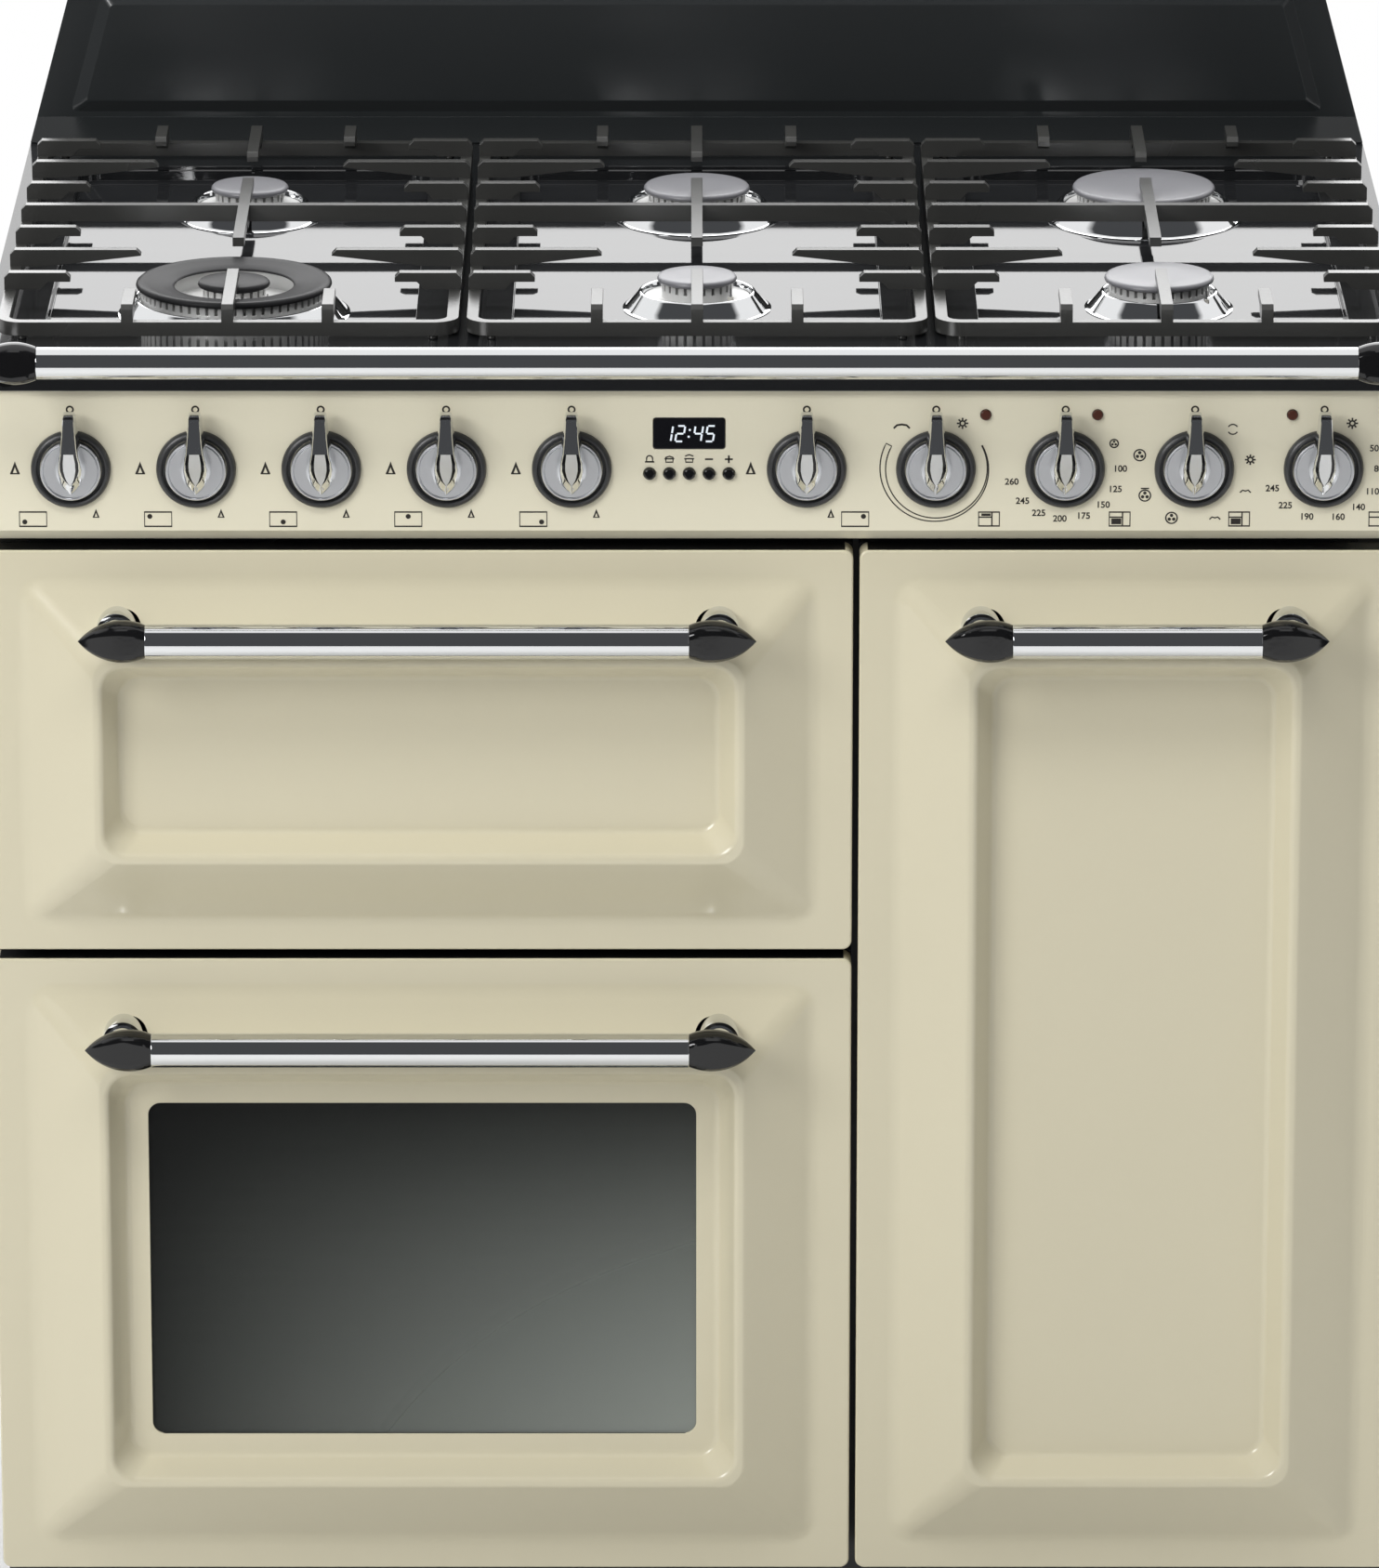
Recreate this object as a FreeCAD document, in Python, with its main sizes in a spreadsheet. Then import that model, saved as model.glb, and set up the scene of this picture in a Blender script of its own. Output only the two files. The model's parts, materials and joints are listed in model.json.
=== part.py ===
import FreeCAD, Part
import math
import os
import re
import Sketcher

# A 90 cm range cooker: gas hob with six burners, three electric ovens, two drop-down doors, one side door.
# Millimetres. X to the right, Y to the rear, Z up. The origin is on the floor, under the middle of the box.

V = FreeCAD.Vector

SIZES = {
    # whole cooker
    "width": 900, "body_depth": 600, "sheet": 2, "clearance": 0.3,
    "cabinet_bottom": 75, "back_inset": 30, "fold": 18,
    # cooling slots of the back panel
    "vent_half": 12, "vent_pitch": 45, "vent_rise": 6, "vent_drop": 60, "vent_row": 20,
    # plinth and feet
    "plinth_setback": 60, "plinth_lift": 8, "foot_inset": 50, "foot_radius": 22, "foot_pad": 12,
    "stem_radius": 7,
    # control panel
    "panel_top": 869, "panel_height": 98, "panel_bevel": 7, "panel_side_gap": 2,
    # knobs and the other controls
    "knob_height": 818, "knob_inset": 58, "display_margin": 51,
    "bezel_radius": 25, "bezel_bore": 20, "bezel_thickness": 4, "disc_radius": 19, "disc_proud": 9,
    "lever_proud": 24, "lever_up": 37, "lever_down": 13, "lever_top_half": 4.2, "lever_mid_half": 6.2,
    "lever_leaf_half": 9, "lever_leaf_proud": 12, "shaft_radius": 4, "shaft_hole": 5,
    "display_x": -5, "display_height": 841, "display_half": 22.5, "display_rise": 10, "display_radius": 2,
    "button_height": 815, "button_pitch": 12.4, "button_radius": 3.8, "button_proud": 3,
    "button_travel": 1, "soft_edge": 1,
    "lamp_height": 853, "lamp_radius": 3.3, "lamp_proud": 2,
    "lamp_beside_grill": 31, "lamp_beside_oven": 20, "shaft_depth": 12, "clock_half": 40, "clock_rise": 30,
    "clock_depth": 24, "tap_depth": 36, "tap_half": 14, "tap_neck": 9, "manifold_radius": 9,
    "manifold_back": 34, "inlet_radius": 10.45, "inlet_side": 35, "inlet_proud": 25, "gland_radius": 9,
    "gland_wall": 4, "gland_proud": 10, "gland_side": 90,
    # hob
    "hob_rise": 21, "well_depth": 10, "hob_overhang": 3, "hob_corner": 10, "well_inset": 28,
    "well_corner": 14, "burner_hole": 15,
    # upstand at the rear of the hob
    "upstand_rise": 115, "upstand_depth": 26, "upstand_lean": 31, "upstand_border": 22, "upstand_emboss": 4,
    "field_corner": 8,
    # rail along the front of the hob
    "rail_ahead": 41, "rail_rise": 7, "rail_radius": 10, "rail_post_drop": 14, "rail_post_radius": 6.5,
    "rail_cap_length": 40,
    # handles of the doors
    "bar_radius": 11, "bar_ahead": 43, "handle_drop": 47, "cap_length": 42, "cap_curve": 36,
    "cap_neck": 10.5, "post_radius": 11, "left_bar_inset": 103, "right_bar_inset": 95,
    "cap_post_offset": 15,
    # doors
    "door_bottom": 83, "door_gap": 6, "leaf_gap": 4, "door_split": 100, "upper_height": 263,
    "door_corner": 6, "flange_depth": 20, "door_depth": 40, "border_side": 25, "border_end": 21,
    "slope_width": 46, "ridge_flat": 5, "ridge_proud": 24, "recess_depth": 18, "recess_wall": 11,
    "outer_corner": 9, "ridge_round": 5, "recess_round": 6, "border_round": 1.5, "slope_round": 22,
    "rim_corner": 15, "liner_gap": 4, "liner_rise": 32, "window_margin": 14, "window_corner": 8,
    "glass": 4,
    # hinges
    "hinge_back": 14, "hinge_up": 20, "hinge_inset": 60, "hinge_pin": 4, "hinge_fit": 0.15,
    "bracket_half": 6, "bracket_thickness": 5, "lug_thickness": 8, "lug_reach": 10,
    # oven cavities
    "frame_depth": 20, "frame_lap": 8, "cavity_depth": 400, "left_cavity_side": 58, "tall_cavity_side": 53,
    "grill_low": 40, "grill_high": 38, "main_low": 46, "main_high": 44, "tall_low": 56, "tall_high": 50,
    "baffle_space": 36, "guide_radius": 4, "guide_pitch": 70, "seal_width": 9,
    # fans, elements and shelves
    "fan_radius": 72, "fan_depth": 22, "fan_hub": 12, "motor_radius": 42, "motor_length": 55,
    "motor_shaft": 4, "element_radius": 3.5, "ring_radius": 92, "run_pitch": 60, "wire_radius": 3,
    "cross_wire": 2.4, "wire_pitch": 36,
    # pan supports
    "support_side": 10, "support_gap": 5, "support_front": 45, "support_depth": 490, "support_bar": 7.5,
    "support_lift": 2, "frame_rise": 9, "finger_rise": 22, "finger_root": 11, "finger_tip": 6,
    "finger_slim": 4, "finger_step": 23, "finger_short": 42, "finger_long": 84, "finger_pitch": 60,
    "cross_back": 267, "end_pitch": 63, "front_short": 47, "front_long": 98, "rear_short": 38,
    "rear_long": 82, "rib_front": 91, "rib_rear": 72, "support_corner": 16, "finger_nose": 3, "support_foot": 3,
    # burners
    "cup_rise": 9, "cup_wall": 1.2, "cup_taper": 11, "head_base": 8, "head_rise": 18, "head_inset": 3,
    "cap_rise": 22, "cap_edge": 2.5, "neck_drop": 25, "neck_radius": 14, "rear_burners": 94,
    "front_burners": 148, "wok_shift": 14, "wok_inner": 38, "wok_core": 23,
    "small_cap": 25.5, "medium_cap": 35, "large_cap": 47, "wok_cap": 62.5, "small_cup": 47.5,
    "medium_cup": 55, "large_cup": 65.5, "wok_cup": 74, "wok_dish": 3,
    "port_half": 1, "port_rise": 5, "port_depth": 4, "port_pitch": 6,
}

doc = FreeCAD.newDocument("range_cooker")
dims = doc.addObject("Spreadsheet::Sheet", "dims")
for row, (alias, number) in enumerate(SIZES.items(), 1):
    dims.set(f"A{row}", str(number))
    dims.setAlias(f"A{row}", alias)
doc.recompute()

# Places that several pieces share, worked out from the sizes above.
PLACES = {
    "cap_chord": "sqrt(cap_length^2 + cap_neck^2)",
    "cap_crest": "cap_curve + cap_neck / 2 - cap_length / cap_chord * sqrt(cap_curve^2 - cap_chord^2 / 4)",
    "hob_rim": "panel_top + hob_rise",
    "hob_deck": "hob_rim - well_depth",
    "upstand_top": "hob_rim + upstand_rise",
    "front_reach": "bar_ahead + cap_crest",
    "front": "(front_reach - body_depth) / 2",
    "rear": "(front_reach + body_depth) / 2",
    "side": "width / 2",
    "inner_side": "side - sheet",
    "frame_face": "front + door_depth",
    "frame_back": "frame_face + frame_depth",
    "back_face": "rear - back_inset",
    "cavity_rear": "frame_back + cavity_depth",
    "panel_bottom": "panel_top - panel_height",
    "door_top": "panel_bottom - door_gap",
    "door_side": "side - panel_side_gap",
    "left_knob": "knob_inset - side",
    "left_pitch": "(display_x - display_half - display_margin - left_knob) / 4",
    "right_knob": "display_x + display_half + display_margin",
    "right_pitch": "(side - knob_inset - right_knob) / 4",
    "inlet_x": "side - inlet_side",
    "gland_x": "side - gland_side",
    "upper_bottom": "door_top - upper_height",
    "lower_top": "upper_bottom - door_gap",
    "left_door_end": "door_split - leaf_gap / 2",
    "right_door_start": "door_split + leaf_gap / 2",
    "left_middle": "(left_door_end - door_side) / 2",
    "right_middle": "(right_door_start + door_side) / 2",
    "left_door_half": "(left_door_end + door_side) / 2",
    "right_door_half": "(door_side - right_door_start) / 2",
    "left_bar_half": "left_door_half - left_bar_inset",
    "right_bar_half": "right_door_half - right_bar_inset",
    "left_cavity_half": "left_door_half - left_cavity_side",
    "tall_cavity_half": "right_door_half - tall_cavity_side",
    "grill_floor": "upper_bottom + grill_low",
    "grill_roof": "door_top - grill_high",
    "main_floor": "door_bottom + main_low",
    "main_roof": "lower_top - main_high",
    "tall_floor": "door_bottom + tall_low",
    "tall_roof": "door_top - tall_high",
    "hob_front": "front - hob_overhang",
    "upstand_face": "rear - upstand_depth",
    "bar_line": "front - bar_ahead",
    "rail_line": "front - rail_ahead",
    "rail_height": "hob_rim + rail_rise",
    "rail_half": "side - rail_cap_length",
    "ridge_face": "front - ridge_proud",
    "recess_face": "ridge_face + recess_depth",
    "liner_face": "front + flange_depth",
    "liner_back": "frame_face - liner_gap",
    "manifold_line": "knob_height - tap_half - manifold_radius - clearance",
    "rail_seat": "sqrt((guide_radius + wire_radius + clearance)^2 - (wire_radius + clearance)^2)",
    "support_width": "(width - 2 * support_side - 2 * support_gap) / 3",
    "support_pitch": "support_width + support_gap",
    "support_start": "front + support_front",
    "support_end": "support_start + support_depth",
    "cross_line": "support_start + cross_back",
    "frame_low": "hob_rim + support_lift",
    "frame_high": "frame_low + frame_rise",
    "finger_top": "hob_rim + finger_rise",
}
layout = doc.addObject("App::VarSet", "layout")


def bind(text):
    """The expression with each size and place named by the object that holds it."""
    def full_name(match):
        word = match.group(0)
        if word in SIZES:
            return f"dims.{word}"
        if word in PLACES:
            return f"layout.{word}"
        return word
    return re.sub(r"[a-z_]+", full_name, str(text))


for place in PLACES:
    layout.addProperty("App::PropertyFloat", place)
for place, text in PLACES.items():
    layout.setExpression(place, bind(text))
ruler = doc.addObject("App::VarSet", "ruler")
ruler.addProperty("App::PropertyFloat", "reading")
doc.recompute()


def measure(text):
    """The value of an expression now, where a first guess or an edge choice needs a number."""
    ruler.setExpression("reading", bind(text))
    ruler.recompute()
    return ruler.reading


# Primitives, booleans and sketches whose sizes follow the sheet.
TURNS = {
    "x": FreeCAD.Rotation(V(0, 1, 0), 90),
    "y": FreeCAD.Rotation(V(1, 0, 0), -90),
    "z": FreeCAD.Rotation(),
}
SKETCH_TURNS = {
    "XY_Plane": FreeCAD.Rotation(),
    "XZ_Plane": FreeCAD.Rotation(V(1, 0, 0), 90),
    "YZ_Plane": FreeCAD.Rotation(V(1, 1, 1), 120),
}
NORMALS = {"XY_Plane": V(0, 0, 1), "XZ_Plane": V(0, -1, 0), "YZ_Plane": V(1, 0, 0)}
nodes = []


def node(piece, label):
    """Mark a finished piece as a node of its own."""
    piece.Label = label
    nodes.append(piece)
    return piece


def box(x, y, z):
    """A block between a low and a high expression on each axis."""
    piece = doc.addObject("Part::Box", "block")
    for length, axis, (low, high) in (("Length", "x", x), ("Width", "y", y), ("Height", "z", z)):
        piece.setExpression(length, bind(f"({high}) - ({low})"))
        piece.setExpression(f".Placement.Base.{axis}", bind(low))
    return piece


def rod(axis, centre, span, radius, end_radius=None):
    """A round bar along an axis, or a cone where the end has another radius."""
    kind = "Part::Cylinder" if end_radius is None else "Part::Cone"
    piece = doc.addObject(kind, "bar")
    piece.Placement = FreeCAD.Placement(V(), TURNS[axis])
    piece.setExpression("Height", bind(f"({span[1]}) - ({span[0]})"))
    if end_radius is None:
        piece.setExpression("Radius", bind(radius))
    else:
        piece.setExpression("Radius1", bind(radius))
        piece.setExpression("Radius2", bind(end_radius))
    others = [name for name in "xyz" if name != axis]
    piece.setExpression(f".Placement.Base.{axis}", bind(span[0]))
    for name, value in zip(others, centre):
        piece.setExpression(f".Placement.Base.{name}", bind(value))
    return piece


def fuse(*pieces):
    joined = doc.addObject("Part::MultiFuse", "joined")
    joined.Shapes = list(pieces)
    joined.Refine = True
    return joined


def cut(base, *tools):
    left = doc.addObject("Part::Cut", "cut")
    left.Base = base
    left.Tool = tools[0] if len(tools) == 1 else fuse(*tools)
    left.Refine = True
    return left


def group(*pieces):
    """Like pieces that lie apart, kept as separate solids of one node."""
    together = doc.addObject("Part::Compound", "group")
    together.Links = list(pieces)
    return together


def sketch_on(body, plane, offset):
    """A sketch on an origin plane of its body, or free-standing, moved along the plane's normal."""
    if body is None:
        drawn = doc.addObject("Sketcher::SketchObject", "outline")
        drawn.Placement = FreeCAD.Placement(V(), SKETCH_TURNS[plane])
        axis, sign = {"XY_Plane": ("z", ""), "XZ_Plane": ("y", "-"), "YZ_Plane": ("x", "")}[plane]
        drawn.setExpression(f".Placement.Base.{axis}", bind(f"{sign}({offset})"))
        return drawn
    drawn = body.newObject("Sketcher::SketchObject", "outline")
    support = next(item for item in body.Origin.OriginFeatures if item.Role == plane)
    drawn.AttachmentSupport = [(support, "")]
    drawn.MapMode = "FlatFace"
    drawn.setExpression(".AttachmentOffset.Base.z", bind(offset))
    return drawn


def pin(drawn, item, end, x, y):
    """Hold one point of a sketch at a pair of expressions."""
    for kind, text in (("DistanceX", x), ("DistanceY", y)):
        held = drawn.addConstraint(Sketcher.Constraint(kind, -1, 1, item, end, measure(text)))
        drawn.setExpression(f"Constraints[{held}]", bind(text))


def polygon(drawn, points):
    """A closed outline of straight lines."""
    first = drawn.GeometryCount
    spots = [V(measure(x), measure(y), 0) for x, y in points]
    count = len(points)
    for i in range(count):
        drawn.addGeometry(Part.LineSegment(spots[i], spots[(i + 1) % count]))
    for i in range(count):
        drawn.addConstraint(Sketcher.Constraint("Coincident", first + i, 2, first + (i + 1) % count, 1))
        pin(drawn, first + i, 1, *points[i])
    return drawn


def circle(drawn, x, y, radius):
    item = drawn.addGeometry(Part.Circle(V(measure(x), measure(y), 0), V(0, 0, 1), measure(radius)))
    pin(drawn, item, 3, x, y)
    held = drawn.addConstraint(Sketcher.Constraint("Radius", item, measure(radius)))
    drawn.setExpression(f"Constraints[{held}]", bind(radius))
    return drawn


def rounded(drawn, x, y, radius):
    """A rectangle with round corners: four arcs pinned at their centres, joined by tangent lines."""
    first = drawn.GeometryCount
    turn = math.pi / 2
    left, right = x
    low, high = y
    corners = (
        (f"({left}) + ({radius})", f"({low}) + ({radius})"),
        (f"({right}) - ({radius})", f"({low}) + ({radius})"),
        (f"({right}) - ({radius})", f"({high}) - ({radius})"),
        (f"({left}) + ({radius})", f"({high}) - ({radius})"),
    )
    size = measure(radius)
    for i, (cx, cy) in enumerate(corners):
        start = turn * (i + 2)
        ring = Part.Circle(V(measure(cx), measure(cy), 0), V(0, 0, 1), size)
        drawn.addGeometry(Part.ArcOfCircle(ring, start, start + turn))
    arcs = [drawn.Geometry[first + i] for i in range(4)]
    for i in range(4):
        drawn.addGeometry(Part.LineSegment(arcs[i].EndPoint, arcs[(i + 1) % 4].StartPoint))
    for i in range(4):
        line = first + 4 + i
        drawn.addConstraint(Sketcher.Constraint("Tangent", first + i, 2, line, 1))
        drawn.addConstraint(Sketcher.Constraint("Tangent", line, 2, first + (i + 1) % 4, 1))
        pin(drawn, first + i, 3, *corners[i])
        held = drawn.addConstraint(Sketcher.Constraint("Radius", first + i, size))
        drawn.setExpression(f"Constraints[{held}]", bind(radius))
    return drawn


def extrude(drawn, plane, length):
    """A solid drawn out from a free sketch along its plane's normal."""
    solid = doc.addObject("Part::Extrusion", "drawn_out")
    solid.Base = drawn
    solid.DirMode = "Custom"
    solid.Dir = NORMALS[plane]
    solid.Solid = True
    solid.setExpression("LengthFwd", bind(length))
    return solid


def revolve(drawn, axis, through):
    """A solid turned from a free sketch about an axis through a point of expressions."""
    solid = doc.addObject("Part::Revolution", "turned")
    solid.Source = drawn
    solid.Axis = axis
    solid.Angle = 360
    solid.Solid = True
    for name, text in zip("xyz", through):
        solid.setExpression(f".Base.{name}", bind(text))
    return solid


def pad(body, drawn, length, backward=False):
    feature = body.newObject("PartDesign::Pad", "pad")
    feature.Profile = drawn
    feature.Reversed = backward
    feature.setExpression("Length", bind(length))
    return feature


def pocket(body, drawn, length, forward=False):
    """A pocket sunk against the sketch normal, or along it where forward is set. It has to remove metal."""
    doc.recompute()
    before = body.Shape.Volume
    feature = body.newObject("PartDesign::Pocket", "pocket")
    feature.Profile = drawn
    feature.Reversed = forward
    feature.setExpression("Length", bind(length))
    doc.recompute()
    if body.Shape.Volume > before - 1e-6:
        raise RuntimeError(f"{body.Label}: a pocket removes nothing")
    return feature


def loft(body, kind, *sections):
    feature = body.newObject(f"PartDesign::{kind}Loft", "loft")
    feature.Profile = sections[0]
    feature.Sections = list(sections[1:])
    feature.Ruled = True
    return feature


def part_body(label):
    body = doc.addObject("PartDesign::Body", label)
    return node(body, label)


def soften(body, radius, chosen):
    """Round the chosen edges of a pressing."""
    doc.recompute()
    pressing = body.Tip
    edges = [f"Edge{i}" for i, edge in enumerate(pressing.Shape.Edges, 1) if chosen(edge)]
    rounding = body.newObject("PartDesign::Fillet", "rounding")
    rounding.Base = (pressing, edges)
    rounding.setExpression("Radius", bind(radius))
    doc.recompute()
    if not rounding.isValid():
        raise RuntimeError(f"{body.Label}: edges can't be rounded by {radius}")


def depths(edge):
    """The depths of an edge's ends, to a micrometre."""
    return {round(corner.Y, 3) for corner in edge.Vertexes}


def depth_of(text):
    return {round(measure(text), 3)}


# Side panels: folded sheet steel, a return at the top for the hob and one at the bottom for the tray.
def side_panel(label, sign):
    def across(inset):
        return f"{sign} * (side - ({inset}))"
    bottom = polygon(sketch_on(None, "XZ_Plane", "-frame_face"), (
        (across("0"), "cabinet_bottom"),
        (across("0"), "panel_top"),
        (across("fold"), "panel_top"),
        (across("fold"), "panel_top - sheet"),
        (across("sheet"), "panel_top - sheet"),
        (across("sheet"), "cabinet_bottom + sheet"),
        (across("fold"), "cabinet_bottom + sheet"),
        (across("fold"), "cabinet_bottom"),
    ))
    panel = extrude(bottom, "XZ_Plane", "back_face - frame_face")
    panel.Dir = V(0, 1, 0)
    return node(panel, label)


side_panel("side_panel_left", -1)
side_panel("side_panel_right", 1)

# Base tray: a shallow folded tray that lies on the returns of the side panels.
tray = cut(
    box(("-inner_side", "inner_side"), ("frame_back", "back_face"),
        ("cabinet_bottom + sheet", "cabinet_bottom + fold")),
    box(("sheet - inner_side", "inner_side - sheet"), ("frame_back + sheet", "back_face - sheet"),
        ("cabinet_bottom + 2 * sheet", "cabinet_bottom + 2 * fold")),
)
node(tray, "base_tray")

# Back panel: flat sheet with two rows of cooling slots, a hole for the gas inlet and a collared cable entry.
through_back = ("back_face - sheet", "back_face + sheet + 2 * gland_proud")
vents = []
for row in (0, 1):
    height = f"panel_top - vent_drop - {row} * vent_row"
    for i in range(-6, 7):
        vents.append(box((f"{i} * vent_pitch - vent_half", f"{i} * vent_pitch + vent_half"), through_back,
                         (height, f"{height} + vent_rise")))
inlet_hole = rod("y", ("inlet_x", "manifold_line"), through_back, "manifold_radius + clearance")
entry = rod("y", ("gland_x", "manifold_line"), ("back_face", "back_face + sheet + gland_proud"),
            "gland_radius + gland_wall")
entry_hole = rod("y", ("gland_x", "manifold_line"), through_back, "gland_radius")
back = cut(
    fuse(box(("-side", "side"), ("back_face", "back_face + sheet"), ("cabinet_bottom", "panel_top")), entry),
    inlet_hole, entry_hole, *vents,
)
node(back, "back_panel")

# Plinth: a set-back panel under the doors with a return that lies under the side panels.
plinth = polygon(sketch_on(None, "YZ_Plane", "-inner_side"), (
    ("front + plinth_setback", "plinth_lift"),
    ("front + plinth_setback + sheet", "plinth_lift"),
    ("front + plinth_setback + sheet", "cabinet_bottom - sheet"),
    ("front + plinth_setback + fold", "cabinet_bottom - sheet"),
    ("front + plinth_setback + fold", "cabinet_bottom"),
    ("front + plinth_setback", "cabinet_bottom"),
))
node(extrude(plinth, "YZ_Plane", "2 * inner_side"), "plinth_panel")

# Levelling feet: a broad pad, a lock nut and a screwed stem that bears on the base tray.
feet = []
for x in ("-(side - foot_inset)", "side - foot_inset"):
    for y in ("frame_back + foot_inset", "back_face - foot_inset"):
        feet.append(fuse(
            rod("z", (x, y), ("0", "foot_pad"), "foot_radius", "foot_radius - foot_pad / 2"),
            rod("z", (x, y), ("foot_pad", "cabinet_bottom + sheet"), "stem_radius"),
            rod("z", (x, y), ("cabinet_bottom - foot_pad", "cabinet_bottom + sheet"), "2 * stem_radius"),
        ))
node(group(*feet), "levelling_feet")

# Hinges. Each bracket stands out of the front frame and carries a fixed pin for a lug of the door.
# A drop-down door turns on two pins along X, the side door on two pins along Z.
HINGES = {
    "upper": ("x", "left_middle", "upper_bottom", ("hinge_inset - door_side", "left_door_end - hinge_inset")),
    "lower": ("x", "left_middle", "door_bottom", ("hinge_inset - door_side", "left_door_end - hinge_inset")),
    "right": ("z", "right_middle", "door_side", ("door_bottom + hinge_inset", "door_top - hinge_inset")),
}


def hinge_span(start, inward, near, far):
    """A low and a high expression at two distances inwards of a hinge bracket's outer face."""
    ends = (f"({start}) + {inward} * ({near})", f"({start}) + {inward} * ({far})")
    return ends if inward > 0 else ends[::-1]


def hinge_places(door):
    """For each hinge of a door: axis, line of the pin across the depth, its outer face and inward sign."""
    axis, _, edge, starts = HINGES[door]
    line = f"{edge} + hinge_up" if axis == "x" else f"{edge} - hinge_up"
    return [(axis, line, start, inward) for start, inward in zip(starts, (1, -1))]


def upright(axis, along, across):
    """Spans in X and in Z, of which one runs along the pin and the other across it."""
    return (along, across) if axis == "x" else (across, along)


def hinge_rod(axis, line, span, radius):
    centre = ("front + hinge_back", line) if axis == "x" else (line, "front + hinge_back")
    return rod(axis, centre, span, radius)


# Front frame: a folded plate with a collar round each oven mouth and the hinge brackets of the doors.
OVENS = {
    "grill": ("left_middle", "left_cavity_half", "grill_floor", "grill_roof"),
    "main": ("left_middle", "left_cavity_half", "main_floor", "main_roof"),
    "tall": ("right_middle", "tall_cavity_half", "tall_floor", "tall_roof"),
}


def oven_box(oven, y, grow="0"):
    """The space of an oven between two depths, grown by an expression on its four sides."""
    middle, half, floor, roof = OVENS[oven]
    return box((f"{middle} - {half} - ({grow})", f"{middle} + {half} + ({grow})"), y,
               (f"{floor} - ({grow})", f"{roof} + ({grow})"))


plate = cut(
    box(("-inner_side", "inner_side"), ("frame_face", "frame_back"),
        ("cabinet_bottom + sheet", "panel_bottom + frame_lap")),
    box(("sheet - inner_side", "inner_side - sheet"), ("frame_face + sheet", "frame_back + sheet"),
        ("cabinet_bottom + 2 * sheet", "panel_bottom + frame_lap - sheet")),
)
collars = [oven_box(oven, ("frame_face", "frame_back"), "sheet") for oven in OVENS]
brackets = []
for door in HINGES:
    for axis, line, start, inward in hinge_places(door):
        wide, tall = upright(axis, hinge_span(start, inward, "0", "bracket_thickness"),
                             (f"{line} - bracket_half", f"{line} + bracket_half"))
        brackets.append(box(wide, ("front + hinge_back - bracket_half", "frame_face + sheet"), tall))
        brackets.append(hinge_rod(
            axis, line, hinge_span(start, inward, "0", "bracket_thickness + clearance + lug_thickness"),
            "hinge_pin"))
mouths = [oven_box(oven, ("frame_face - sheet", "frame_back + sheet")) for oven in OVENS]
node(cut(fuse(plate, *collars, *brackets), *mouths), "front_frame")

# Oven cavities: enamelled boxes, open at the front, with pressed shelf guides and a pierced fan baffle.
FAN_OVENS = ("main", "tall")


def fan_height(oven):
    _, _, floor, roof = OVENS[oven]
    return f"({floor} + {roof}) / 2"


def guide_levels(oven):
    """Heights of the shelf guides of an oven."""
    _, _, floor, roof = OVENS[oven]
    count = int(measure(f"({roof} - {floor}) / guide_pitch"))
    return [f"{floor} + {level} * guide_pitch" for level in range(1, count)]


for oven, (middle, half, floor, roof) in OVENS.items():
    shell = cut(
        oven_box(oven, ("frame_back", "cavity_rear"), "sheet"),
        oven_box(oven, ("frame_back - sheet", "cavity_rear - sheet")),
    )
    guides = []
    for level in guide_levels(oven):
        for sign in (-1, 1):
            guides.append(rod("y", (f"{middle} + {sign} * {half}", level),
                              ("frame_back + fold", "cavity_rear - baffle_space - fold"), "guide_radius"))
    shell_cuts = []
    if oven in FAN_OVENS:
        baffle = ("cavity_rear - baffle_space - sheet", "cavity_rear - baffle_space")
        through = ("cavity_rear - baffle_space - fold", "cavity_rear - baffle_space + sheet")
        fan_line = fan_height(oven)
        guides.append(oven_box(oven, baffle, "sheet"))
        shell_cuts.append(rod("y", (middle, fan_line), ("cavity_rear - 2 * sheet", "cavity_rear + sheet"),
                              "motor_shaft + clearance"))
        for step in range(-2, 3):
            slot = (f"{fan_line} + {step} * fold - sheet", f"{fan_line} + {step} * fold + sheet")
            wide = (f"{middle} - fan_radius / 2", f"{middle} + fan_radius / 2")
            shell_cuts.append(box(wide, through, slot))
        for sign in (-1, 1):
            outlet = f"{middle} + {sign} * ({half} - fold)"
            shell_cuts.append(box((f"{outlet} - fold / 2", f"{outlet} + fold / 2"), through,
                                  (f"{floor} + 2 * fold", f"{roof} - 2 * fold")))
    whole = fuse(shell, *guides)
    node(cut(whole, *shell_cuts) if shell_cuts else whole, f"{oven}_cavity")

# Door seals: a flat strip round each oven mouth, fixed to the frame.
seals = [
    cut(oven_box(oven, ("frame_face - liner_gap + clearance", "frame_face"), "seal_width + sheet"),
        oven_box(oven, ("frame_face - fold", "frame_face + fold"), "sheet"))
    for oven in OVENS
]
node(group(*seals), "door_seals")

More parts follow.
